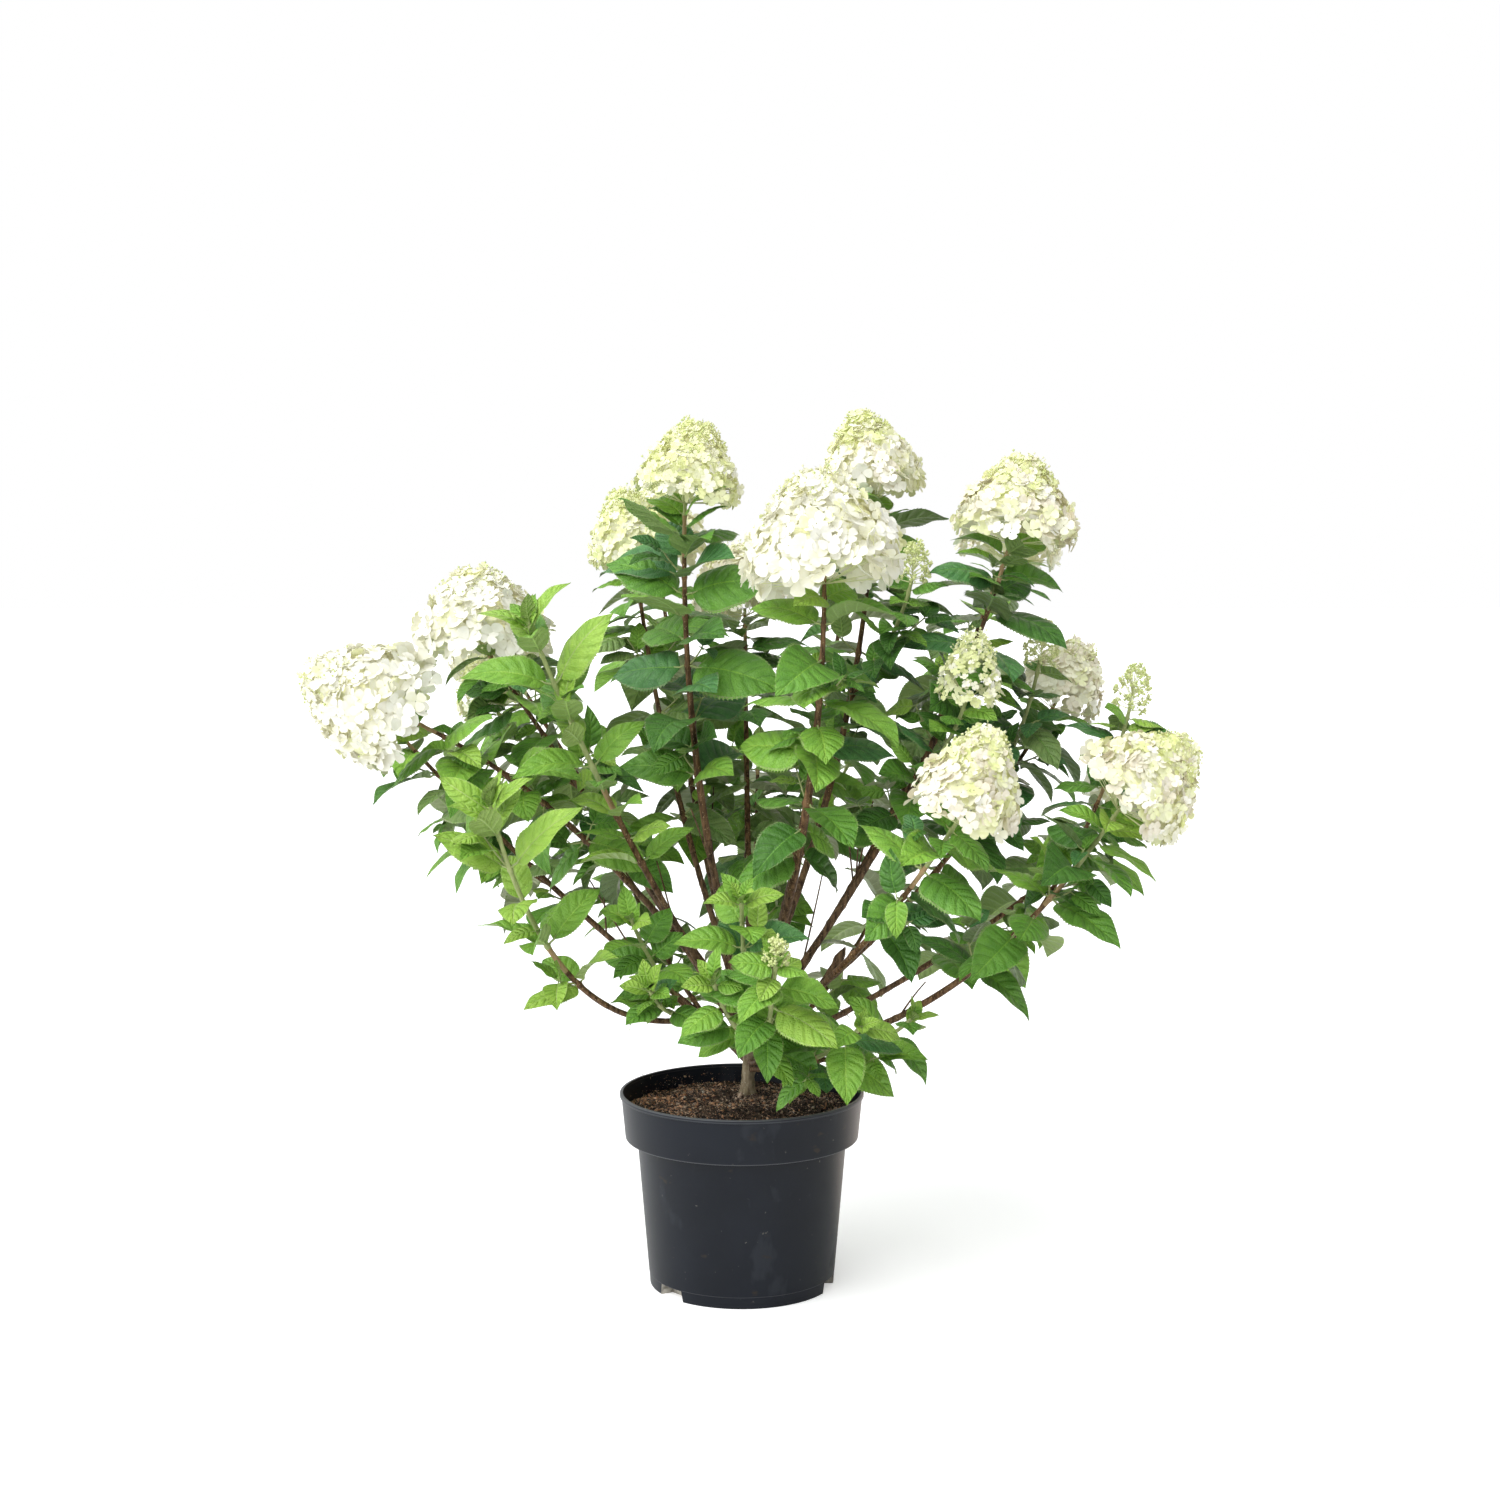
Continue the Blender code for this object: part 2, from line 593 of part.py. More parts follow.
class Leaf:
    """A leaf's root on its stem, the way it points and faces, and its size."""

    def __init__(self, root, along, face, length, width):
        self.root, self.along, self.length, self.width = root, along, length, width
        self.across = face.cross(along).normalized()
        self.face = along.cross(self.across).normalized()

    def place(self, along, across, up):
        """A point of the blade: shares of its length, its width and, for height, its length."""
        sideways = self.along * (along * self.length) + self.across * (across * self.width)
        return self.root + sideways + self.face * (up * self.length)

    def solid(self):
        """An eight-sided blade, folded along its midrib and arched, with its root in the stem."""
        bm = bmesh.new()
        bmesh.ops.create_uvsphere(bm, u_segments=4, v_segments=2, radius=1)
        half = LEAF_THICKNESS / 2 / self.length
        for vert in bm.verts:
            x, y, z = (round(c) for c in vert.co)
            along = {-1: 0.0, 0: LEAF_WIDEST, 1: 1.0}[x]
            arch = {-1: 0.0, 0: LEAF_ARCH, 1: -LEAF_ARCH}[x]
            vert.co = self.place(along, y / 2, arch + abs(y) * LEAF_FOLD + z * half)
        mesh = bpy.data.meshes.new("leaf")
        bm.to_mesh(mesh)
        bm.free()
        return mesh


def leaf_share(order, count):
    """Leaves are small under the flower head, longest below it and shorter again at the foot."""
    if order < len(YOUNG_SHARES):
        return YOUNG_SHARES[order]
    return 1 - FOOT_LOSS * (order - 2) / max(count - 2, 1)


def shoot_leaves(shoot):
    """The leaves of one shoot, as (node, leaf), in pairs or threes that turn from node to node.

    A leaf leaves its stem sideways, rises near the tip and droops lower down. Its face looks up,
    outwards from the middle of the plant and a little towards the front, where the light is.
    """
    rng, held = random.Random(shoot.seed), shoot.held
    turn = rng.uniform(0, math.tau)
    for order, at in enumerate(shoot.nodes):
        count = 3 if rng.random() < TRIPLE_SHARE else 2
        turn += math.pi / count + rng.uniform(-NODE_TWIST, NODE_TWIST)
        node, stem = shoot.joint(at), shoot.curve.direction(at)
        side = stem.cross(SLANT).normalized()
        outward = Vector((node.x, node.y, 0)).normalized()
        for i in range(count):
            away = Matrix.Rotation(turn + math.tau * i / count, 3, stem) @ side
            away.z *= FLATTENING
            lift = rng.uniform(*TIP_LIFT) - LIFT_LOSS * min(order, LOWEST_LIFT) + held
            droop = rng.uniform(*DROOP) * (1 - held)
            along = (away.normalized() + stem * lift - UP * droop).normalized()
            face = UP + outward * rng.uniform(*FACE_OUT) + LIGHT_PULL
            face += Vector([rng.uniform(-FACE_SWAY, FACE_SWAY) for _ in range(3)])
            length = shoot.longest * leaf_share(order, len(shoot.nodes)) * rng.uniform(*LENGTH_SPREAD)
            width = length * LEAF_WIDTH_SHARE * rng.uniform(*WIDTH_SPREAD)
            yield order, Leaf(node + along * ROOT_OFFSET, along, face, length, width)


def leaf_choices(leaf, rng):
    """The leaf as it wants to grow, then swung aside and a little smaller, try after try."""
    yield leaf
    for _ in range(LEAF_TRIES):
        swing = Matrix.Rotation(rng.uniform(-RETRY_SWING, RETRY_SWING), 3, "Z")
        small = rng.uniform(*RETRY_SIZE)
        along = (swing @ leaf.along + UP * rng.uniform(-RETRY_LIFT, RETRY_LIFT)).normalized()
        yield Leaf(leaf.root, along, leaf.face, leaf.length * small, leaf.width * small)


def grow_leaves(mass, shoots, taken):
    """The leaf solids of a mass. A leaf that would meet more than its own stem is left out."""
    own, made = Taken(), []
    for shoot in shoots:
        rng = random.Random(shoot.seed + " tries")
        for node, leaf in shoot_leaves(shoot):
            for choice in leaf_choices(leaf, rng):
                mesh = choice.solid()
                if not taken.touches(mesh, mass) and not own.touches(mesh, (shoot, node)):
                    taken.add(mass, mesh)
                    own.add((shoot, node), mesh)
                    made.append(mesh)
                    break
    return made


def trunk_view():
    """A slab from the trunk towards the visitor, which leaves keep clear of."""
    bm = bmesh.new()
    bmesh.ops.create_cube(bm, size=1)
    for vert in bm.verts:
        near = Vector((TRUNK_FOOT.x, TRUNK_FOOT.y, VIEW_TOP if vert.co.z > 0 else TRUNK_FOOT.z))
        near.x += vert.co.x * VIEW_WIDTH
        vert.co = near.lerp(VISITOR, VIEW_REACH) if vert.co.y < 0 else near
    mesh = bpy.data.meshes.new("trunk_view")
    bm.to_mesh(mesh)
    bm.free()
    return mesh


# Masses.
def shoots_of(cane, curves):
    """The cane's leafy upper part, and the side shoots that it bears."""
    name, foot_radius, bare, longest = cane[0], *cane[7:]
    main = curves[name]
    found = [Shoot(name, 0, main, main.length * bare, longest, bare_radius(foot_radius, bare))]
    for mass, along, tip, out, arch, side_leaf in SIDE_SHOOTS:
        if mass == name:
            curve = Cane(main.at(along * main.length), Vector(tip), out, arch)
            found.append(Shoot(name, len(found), curve, 0.0, side_leaf, TIP_RADIUS))
    return found


def woody_pieces(shoots):
    """The stems and flower heads of a mass. Its first stem starts just clear of the bough."""
    made = [shoots[0].stem(shoots[0].low + CLEARANCE)]
    made += [shoot.stem(shoot.low) for shoot in shoots[1:]]
    made += [head_mesh(*shoot.head) for shoot in shoots if shoot.head]
    return made


def join_mass(name, pieces, parts, stage, finish):
    mass = mesh_object(name, pieces[0], parts)
    for mesh in pieces[1:]:
        as_cutter(mesh_object("piece", mesh, stage))
    boolean(mass, "UNION", stage, "MANIFOLD")
    apply_modifiers(mass, finish)
    for piece in list(stage.objects):
        bpy.data.objects.remove(piece)


def make_masses(parts, finish, taken, curves):
    """Every mass. Stems and flower heads are placed first, and leaves then keep clear of them."""
    stage = new_collection("mass_pieces", shown=False)
    grown = []
    taken.add("view", trunk_view())
    for cane in CANES:
        shoots = shoots_of(cane, curves)
        pieces = woody_pieces(shoots)
        for mesh in pieces:
            taken.add(cane[0], mesh)
        grown.append((cane[0], shoots, pieces))
    for name, shoots, pieces in grown:
        pieces += grow_leaves(name, shoots, taken)
        join_mass("mass_" + name, pieces, parts, stage, finish)
    bpy.data.collections.remove(stage)


def main():
    clear_scene()
    parts = new_collection("hydrangea")
    cutters = new_collection("cutters", shown=False)
    plastic = material("pot_plastic", (0.020, 0.023, 0.028), 0.45)
    compost = material("compost", (0.10, 0.055, 0.032), 0.95)
    bark = material("bark", (0.20, 0.11, 0.07), 0.8)
    foliage = material("foliage", (0.10, 0.27, 0.05), 0.5)
    taken, fat = Taken(), {}
    taken.add("pot", evaluated_mesh(make_pot(parts, cutters, plastic)))
    taken.add("root_ball", evaluated_mesh(make_root_ball(parts, cutters, compost)))
    trunk_axis = make_trunk(parts, bark, taken, fat)
    curves = make_boughs(parts, bark, taken, fat, trunk_axis)
    make_masses(parts, foliage, taken, curves)


main()
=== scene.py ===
"""The looks of a panicle hydrangea in its nursery pot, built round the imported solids."""

import math
import random
from collections import namedtuple

import bmesh
import bpy
import numpy as np
from mathutils import Matrix, Vector, noise
from mathutils.bvhtree import BVHTree


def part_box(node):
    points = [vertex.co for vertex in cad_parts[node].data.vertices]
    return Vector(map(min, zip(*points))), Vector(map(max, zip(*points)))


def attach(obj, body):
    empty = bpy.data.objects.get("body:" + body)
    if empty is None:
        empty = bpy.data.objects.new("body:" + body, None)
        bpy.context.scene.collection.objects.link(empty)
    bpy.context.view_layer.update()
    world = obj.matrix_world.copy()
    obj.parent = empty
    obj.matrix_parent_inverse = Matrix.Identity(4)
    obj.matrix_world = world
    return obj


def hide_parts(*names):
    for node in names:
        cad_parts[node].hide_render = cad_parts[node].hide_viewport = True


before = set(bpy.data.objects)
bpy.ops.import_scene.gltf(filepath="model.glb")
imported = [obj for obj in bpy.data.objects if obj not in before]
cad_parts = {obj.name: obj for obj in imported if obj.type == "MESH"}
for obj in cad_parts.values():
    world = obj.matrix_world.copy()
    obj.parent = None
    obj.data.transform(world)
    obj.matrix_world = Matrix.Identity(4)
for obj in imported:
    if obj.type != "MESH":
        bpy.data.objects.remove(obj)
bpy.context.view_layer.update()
UP = Vector((0, 0, 1))

# The pot
# A ten-litre nursery pot, injection moulded in black recycled plastic. Its deep collar keeps a
# stack of pots apart, a rolled lip stiffens the rim, and three notches in the foot let water out.
POT_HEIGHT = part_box("pot")[1].z
RIM_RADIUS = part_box("pot")[1].x
BASE_RADIUS = 0.1058
POT_WALL = 0.0025
LIP = 0.0036
LIP_HEIGHT = 0.0046
COLLAR_TOP = 0.1380
COLLAR_FOOT = 0.1335
LEDGE = POT_HEIGHT - 0.052
SHOULDER = 0.1200
FOOT_LINE = 0.0132
FOOT_STEP = 0.0004
CAVITY_OVERSHOOT = 0.02
FILLET_STEPS = 5
TURN_STEPS = 144
SHARP_ANGLE = math.radians(32)
NOTCH_COUNT = 3
NOTCH_TURN = math.radians(-49)
NOTCH_WIDTH = 0.060
NOTCH_HEIGHT = 0.0128
NOTCH_DEPTH = 0.016
NOTCH_SPLAY = 0.005
NOTCH_TAPER = 0.62
NOTCH_OUTREACH = 1.3

# Edges that rub on other pots, paler for that wear and painted bright as highlight lines:
# (height, reach, strength of the paler colour).
EDGE_WEAR_AND_HIGHLIGHTS = (
    (POT_HEIGHT - 0.0004, 0.0013, 0.60),
    (POT_HEIGHT - LIP_HEIGHT + 0.0014, 0.0010, 0.30),
    (LEDGE + 0.0003, 0.0013, 0.50),
    (FOOT_LINE + 0.0002, 0.0006, 0.30),
)


def rounded(corners):
    """A profile through (radius, height, fillet) corners, with an arc at each inner corner."""
    points = [Vector(corners[0][:2])]
    for before, (radius, height, fillet), after in zip(corners, corners[1:], corners[2:]):
        corner = Vector((radius, height))
        start = corner + (Vector(before[:2]) - corner).normalized() * fillet
        end = corner + (Vector(after[:2]) - corner).normalized() * fillet
        for t in (i / FILLET_STEPS for i in range(FILLET_STEPS + 1)):
            points.append(start * (1 - t) ** 2 + corner * 2 * t * (1 - t) + end * t * t)
    return [*points, Vector(corners[-1][:2])]


def shown(name, mesh):
    obj = bpy.data.objects.new(name, mesh)
    bpy.context.scene.collection.objects.link(obj)
    return obj


def turned(name, profile):
    """A solid of revolution about the pot's axis."""
    mesh = bpy.data.meshes.new(name)
    edges = [(i, i + 1) for i in range(len(profile) - 1)]
    mesh.from_pydata([(x, 0, z) for x, z in profile], edges, [])
    obj = shown(name, mesh)
    screw = obj.modifiers.new("turn", "SCREW")
    screw.steps = screw.render_steps = TURN_STEPS
    screw.use_merge_vertices = True
    screw.merge_threshold = 0.0001
    return obj


def cut(obj, other):
    """Cuts one object out of another; the cut's faces keep the material of what cut them."""
    modifier = obj.modifiers.new("cut", "BOOLEAN")
    modifier.object = other
    modifier.operation = "DIFFERENCE"
    modifier.material_mode = "TRANSFER"
    other.hide_render = True


def applied(obj, sharp_angle):
    """Applies the modifiers, and shades smooth up to an angle."""
    bpy.context.view_layer.update()
    shape = obj.evaluated_get(bpy.context.evaluated_depsgraph_get())
    obj.data = bpy.data.meshes.new_from_object(shape)
    obj.modifiers.clear()
    obj.data.shade_smooth()
    obj.data.set_sharp_from_angle(angle=sharp_angle)
    return obj


def notch_blocks(grown, splay):
    """Blocks at the foot's three notches, wider at the ground and outside than above and inside."""
    inner, outer = BASE_RADIUS - NOTCH_DEPTH - grown, NOTCH_OUTREACH * BASE_RADIUS
    for i in range(NOTCH_COUNT):
        bm = bmesh.new()
        bmesh.ops.create_cube(bm, size=1)
        for vert in bm.verts:
            top = vert.co.z > 0
            taper = 1 if vert.co.y < 0 else NOTCH_TAPER
            width = NOTCH_WIDTH * taper + 2 * grown - (2 * splay if top else 0)
            height = NOTCH_HEIGHT + grown if top else -NOTCH_HEIGHT
            vert.co = (vert.co.x * width, -outer if vert.co.y < 0 else -inner, height)
        turn = Matrix.Rotation(NOTCH_TURN + math.tau * i / NOTCH_COUNT, 3, "Z")
        bmesh.ops.rotate(bm, verts=bm.verts, matrix=turn)
        mesh = bpy.data.meshes.new("notch")
        bm.to_mesh(mesh)
        bm.free()
        yield shown("notch", mesh)


COLOUR, VALUE, VECTOR = "NodeSocketColor", "NodeSocketFloat", "NodeSocketVector"


class Nodes:
    """A tree of shader nodes, which short calls place, set and link."""

    def __init__(self, tree):
        self.tree = tree

    def node(self, kind, values=None, **settings):
        """A node with its settings, and with its inputs set or linked to other nodes."""
        made = self.tree.nodes.new("ShaderNode" + kind)
        for label, value in settings.items():
            setattr(made, label, value)
        self.fill(made, values or {})
        return made

    def fill(self, node, values):
        """Sets or links inputs, by name or number. A colour may come without its alpha."""
        for label, value in values.items():
            socket = node.inputs[label]
            if isinstance(value, bpy.types.NodeSocket):
                self.tree.links.new(value, socket)
            elif socket.type == "RGBA" and len(value) == 3:
                socket.default_value = (*value, 1)
            else:
                socket.default_value = value

    def math(self, operation, first, second=0):
        return self.node("Math", {0: first, 1: second}, operation=operation).outputs["Value"]

    def mix(self, share, first, second, kind="RGBA"):
        """The first of two colours or values, and the second by its share."""
        values = {"Factor": share, "A": first, "B": second}
        return self.node("Mix", values, data_type=kind).outputs["Result"]

    def ranged(self, value, low, high, start=0, stop=1, curve="LINEAR"):
        """Goes from start to stop while a value goes from low to high."""
        values = {"Value": value, "From Min": low, "From Max": high}
        values |= {"To Min": start, "To Max": stop}
        return self.node("MapRange", values, interpolation_type=curve).outputs["Result"]


def new_group(name, inputs, outputs):
    """An empty shader group with named sockets, and its input and output nodes."""
    tree = bpy.data.node_groups.new(name, "ShaderNodeTree")
    for label, kind, value in inputs:
        tree.interface.new_socket(label, in_out="INPUT", socket_type=kind).default_value = value
    for label, kind in outputs:
        tree.interface.new_socket(label, in_out="OUTPUT", socket_type=kind)
    return Nodes(tree), tree.nodes.new("NodeGroupInput"), tree.nodes.new("NodeGroupOutput")


def mottle_group():
    """Two colours in soft patches. Stretch squeezes the pattern along each axis of the object."""
    inputs = [
        ("First", COLOUR, (1, 1, 1, 1)),
        ("Second", COLOUR, (0, 0, 0, 1)),
        ("Scale", VALUE, 40),
        ("Stretch", VECTOR, (1, 1, 1)),
        ("From", VALUE, 0.4),
        ("To", VALUE, 0.6),
    ]
    made, start, end = new_group("mottle", inputs, [("Color", COLOUR), ("Mask", VALUE)])
    given = start.outputs
    place = made.node("TexCoord").outputs["Object"]
    stretched = made.node("VectorMath", {0: place, 1: given["Stretch"]}, operation="MULTIPLY")
    patches = {"Vector": stretched.outputs[0], "Scale": given["Scale"], "Detail": 4}
    noise_value = made.node("TexNoise", patches).outputs["Fac"]
    mask = made.ranged(noise_value, given["From"], given["To"])
    made.fill(end, {"Color": made.mix(mask, given["First"], given["Second"]), "Mask": mask})
    return made.tree


MOTTLE = mottle_group()


class Finish(Nodes):
    """A material on the Principled shader."""

    def __init__(self, name, roughness, specular):
        self.material = bpy.data.materials.new(name)
        self.material.use_nodes = True
        super().__init__(self.material.node_tree)
        self.shade({"Roughness": roughness, "Specular IOR Level": specular})

    def shade(self, values):
        """Sets or links the shader's own inputs."""
        self.fill(self.tree.nodes["Principled BSDF"], values)

    def mottle(self, first, second, scale, stretch=(1, 1, 1), low=0.4, high=0.6):
        """Patches of two colours, as a Color and a Mask."""
        values = {"First": first, "Second": second, "Scale": scale, "Stretch": stretch}
        return self.node("Group", {**values, "From": low, "To": high}, node_tree=MOTTLE).outputs

    def between(self, mask, low, high):
        """A value that follows a mask from low to high."""
        return self.ranged(mask, 0, 1, low, high)

    def bump(self, height, distance, strength):
        values = {"Height": height, "Distance": distance, "Strength": strength}
        self.shade({"Normal": self.node("Bump", values).outputs["Normal"]})

    def grain(self, scale, distance, strength):
        """A fine grain that stands out by a distance in metres."""
        grains = self.mottle((0, 0, 0), (1, 1, 1), scale, low=0.3, high=0.7)
        self.bump(grains["Mask"], distance, strength)


# The edges' paler grey: rubbed plastic, and a painted highlight.
RUBBED_AND_HIGHLIGHT_PLASTIC = (0.16, 0.165, 0.175)


def plastic():
    """Black plastic, greyed by handling: pale scuffs, specks, and edges rubbed and painted bright
    as highlights.
    """
    made = Finish("pot_plastic", roughness=0.4, specular=0.29)
    tone = made.mottle((0.0026, 0.0044, 0.0092), (0.0048, 0.0072, 0.0134), 9)
    scuffs = made.mottle(tone["Color"], (0.013, 0.016, 0.023), 24, (1, 1, 0.55), 0.60, 0.66)
    stains = made.mottle(scuffs["Color"], (0.022, 0.016, 0.011), 34, (1, 1, 1.6), 0.67, 0.74)
    specks = made.mottle(stains["Color"], (0.085, 0.080, 0.070), 130, low=0.71, high=0.75)
    place = made.node("TexCoord").outputs["Object"]
    height = made.node("SeparateXYZ", {"Vector": place}).outputs["Z"]
    colour = specks["Color"]
    # Paler bands along the edges: wear, and painted highlight lines.
    for edge, reach, strength in EDGE_WEAR_AND_HIGHLIGHTS:
        away = made.math("ABSOLUTE", made.math("SUBTRACT", height, edge))
        colour = made.mix(made.ranged(away, 0, reach, strength, 0), colour, RUBBED_AND_HIGHLIGHT_PLASTIC)
    made.shade({"Base Color": colour, "Roughness": made.between(scuffs["Mask"], 0.37, 0.47)})
    made.grain(900, 0.00006, 0.5)
    return made.material


def worn_plastic():
    """The notches' rough cut faces, where lime from the water dries."""
    made = Finish("worn_plastic", roughness=0.7, specular=0.3)
    tone = made.mottle((0.22, 0.205, 0.175), (0.50, 0.47, 0.41), 120)
    made.shade({"Base Color": tone["Color"]})
    return made.material


def make_pot():
    """The shell: its outside less its cavity, both turned, less the notches in its foot."""
    # Corners of the two profiles, as (radius, height, fillet).
    inside = [
        (0, POT_HEIGHT + CAVITY_OVERSHOOT, 0),
        (RIM_RADIUS - LIP, POT_HEIGHT + CAVITY_OVERSHOOT, 0),
        (RIM_RADIUS - LIP, POT_HEIGHT - LIP_HEIGHT, 0.0006),
        (COLLAR_TOP - POT_WALL, POT_HEIGHT - 2 * LIP_HEIGHT, 0.0006),
        (COLLAR_FOOT - POT_WALL, LEDGE + POT_WALL, 0.0010),
        (SHOULDER - POT_WALL, LEDGE + POT_WALL - 0.0015, 0.0015),
        (BASE_RADIUS - POT_WALL, POT_WALL, 0.001),
        (0, POT_WALL, 0),
    ]
    line_radius = BASE_RADIUS + (SHOULDER - BASE_RADIUS) * FOOT_LINE / LEDGE
    outside = [
        (0, POT_HEIGHT, 0),
        (RIM_RADIUS, POT_HEIGHT, 0.0016),
        (RIM_RADIUS, POT_HEIGHT - LIP_HEIGHT, 0.0012),
        (COLLAR_TOP, POT_HEIGHT - LIP_HEIGHT - 0.0004, 0.0004),
        (COLLAR_FOOT, LEDGE, 0.0011),
        (SHOULDER, LEDGE - 0.0012, 0.0009),
        (line_radius, FOOT_LINE + FOOT_STEP, 0.0002),
        (line_radius - FOOT_STEP, FOOT_LINE, 0.0002),
        (BASE_RADIUS, 0, 0.0012),
        (0, 0, 0),
    ]
    shell, worn = plastic(), worn_plastic()
    cavity = turned("cavity", rounded(inside))
    pot = turned("pot_shell", rounded(outside))
    for obj in (cavity, pot):
        obj.data.materials.append(shell)
    helpers = [cavity]
    for block in notch_blocks(POT_WALL, NOTCH_SPLAY):
        cut(cavity, block)
        helpers.append(block)
    cut(pot, cavity)
    for block in notch_blocks(0, NOTCH_SPLAY):
        block.data.materials.append(worn)
        cut(pot, block)
        helpers.append(block)
    applied(pot, SHARP_ANGLE)
    for helper in helpers:
        bpy.data.objects.remove(helper)
    return pot


pot = make_pot()
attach(pot, "root")
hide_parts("pot")

# The compost
# Peat, bark fines and a little perlite, pressed round the roots and filled to two fingers' width
# below the rim. Crumbs cling to the pot's wall where it was watered and filled.
SOIL_EDGE = 0.196
SOIL_CROWN = 0.210
SOIL_RISE_START = 0.045
SOIL_RISE_END = 0.112
SOIL_RADIUS = 0.1334
SOIL_CENTRE = 0.001
SOIL_RINGS = 60
SOIL_SPOKES = 180
SOIL_LIFT = 0.0012

# Hollows and heaps: (pattern, waves to a metre, height).
SOIL_HEAPS = ((0, 28, 0.0026), (3, 90, 0.0012))
DEEPEST_HOLLOW = -0.001
EDGE_RISE = 0.003
CHIP_HEAP = Vector((-0.108, 0.012))
CHIP_HEAP_HEIGHT = 0.0075
CHIP_HEAP_SPREAD = 0.024


def bell(distance, reach):
    """1 at no distance, and next to nothing at twice the reach."""
    return math.exp(-((distance / reach) ** 2))


def polar(radius, angle):
    return radius * math.cos(angle), radius * math.sin(angle)


def evenly(low, high, count):
    """So many values from low to high, in equal steps."""
    return [low + (high - low) * i / (count - 1) for i in range(count)]


def ripple(x, y, pattern, waves):
    """Smooth noise on the ground, of so many waves to a metre. Each number is another pattern."""
    return noise.noise(Vector((x, y, pattern)) * waves)


def chip_heap(x, y):
    """How near a place is to the heap of bark chips at the pot's left wall, from 0 to 1."""
    return bell((Vector((x, y)) - CHIP_HEAP).length, CHIP_HEAP_SPREAD)


def soil_height(x, y):
    """The root ball's crown, with the hollows and heaps that watering leaves."""
    reach = (math.hypot(x, y) - SOIL_RISE_START) / (SOIL_RISE_END - SOIL_RISE_START)
    slope = min(max(reach, 0), 1)
    height = SOIL_CROWN + (SOIL_EDGE + EDGE_RISE - SOIL_CROWN) * slope * slope * (3 - 2 * slope)
    heaps = sum(ripple(x, y, pattern, waves) * rise for pattern, waves, rise in SOIL_HEAPS)
    return height + max(heaps, DEEPEST_HOLLOW) + SOIL_LIFT + CHIP_HEAP_HEIGHT * chip_heap(x, y)


def joined_mesh(name, points, faces, slots, finishes):
    """A mesh of stacked points. A face has four corners, or three and a -1."""
    mesh = bpy.data.meshes.new(name)
    points, faces = np.concatenate(points), np.concatenate(faces)
    corners = faces[faces >= 0]
    counts = (faces >= 0).sum(axis=1)
    mesh.vertices.add(len(points))
    mesh.vertices.foreach_set("co", points.astype(np.float32).ravel())
    mesh.loops.add(len(corners))
    mesh.loops.foreach_set("vertex_index", corners.astype(np.int32))
    mesh.polygons.add(len(faces))
    mesh.polygons.foreach_set("loop_start", (np.cumsum(counts) - counts).astype(np.int32))
    mesh.polygons.foreach_set("material_index", np.concatenate(slots).astype(np.int32))
    mesh.update(calc_edges=True)
    mesh.shade_smooth()
    for finish in finishes:
        mesh.materials.append(finish)
    return mesh


class Heap:
    """Small meshes that are stacked into joined pieces, each under the most triangles allowed."""

    MOST = 190000
    NUMBERED_FROM = 100000

    def __init__(self, name, finishes, slot, nodes):
        self.name, self.finishes, self.slot, self.nodes = name, finishes, slot, nodes
        self.stacks, self.marks, self.made = [[], [], []], [], []
        self.corner_count = self.triangles = 0

    def add(self, points, faces, slots, marks=None):
        """Takes one small mesh; slots is one number for all its faces, or one for each."""
        triangles = int((faces >= 0).sum()) - 2 * len(faces)
        if self.triangles + triangles > self.MOST:
            self.close()
        offset = np.where(faces >= 0, self.corner_count, 0)
        rows = (points, faces + offset, np.broadcast_to(slots, len(faces)))
        for stack, row in zip(self.stacks, rows):
            stack.append(row)
        if marks is not None:
            self.marks.append(marks)
        self.corner_count += len(points)
        self.triangles += triangles

    def close(self):
        """Makes a piece of what is stacked, and starts the next."""
        if not self.triangles:
            return
        name = self.name
        if self.made or self.triangles > self.NUMBERED_FROM:
            name = f"{self.name}_{len(self.made) + 1}"
        piece = shown(name, joined_mesh(name, *self.stacks, self.finishes))
        if self.marks:
            places = piece.data.attributes.new("blade", "FLOAT_VECTOR", "POINT")
            places.data.foreach_set("vector", np.concatenate(self.marks).astype(np.float32).ravel())
        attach(piece, "root")
        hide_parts(*self.nodes)
        self.made.append(piece)
        self.stacks, self.marks = [[], [], []], []
        self.corner_count = self.triangles = 0


def grid_faces(rows, columns, closed=False):
    """The quads of a grid of corners that is numbered row by row; closed joins its side edges."""
    across = columns if closed else columns - 1
    faces = []
    for i in range(rows - 1):
        for j in range(across):
            a, b = i * columns + j, i * columns + (j + 1) % columns
            faces.append((a, b, b + columns, a + columns))
    return np.array(faces)


def scatter(rng, spread):
    """A way off in any direction, mostly no further than the spread."""
    return Vector([rng.gauss(0, spread) for _ in range(3)])


OCTAHEDRON = np.array([(1, 0, 0), (0, 1, 0), (-1, 0, 0), (0, -1, 0), (0, 0, 1), (0, 0, -1)], float)
OCTAHEDRON_FACES = np.array(
    [(i, (i + 1) % 4, 4, -1) for i in range(4)] + [((i + 1) % 4, i, 5, -1) for i in range(4)]
)
CORNER_PULLS = ((0.5, 1.0), (-0.3, 0.3), (-0.3, 0.3))


def crumb(rng, middle, size, slimness, flatness):
    """A rough lump, chip or fibre: an eight-sided stone with its corners pulled about."""
    axis = scatter(rng, 1)
    turn = Matrix.Rotation(rng.uniform(0, math.tau), 3, axis.normalized())
    corners = []
    for x, y, z in OCTAHEDRON:
        reach, skew, lean = [rng.uniform(*pull) for pull in CORNER_PULLS]
        rough = Vector((x * reach + y * skew, y * reach + z * lean, z * reach + x * skew))
        shaped = Vector((rough.x, rough.y * slimness, rough.z * flatness))
        corners.append(middle + turn @ shaped * size / 2)
    return np.array(corners)


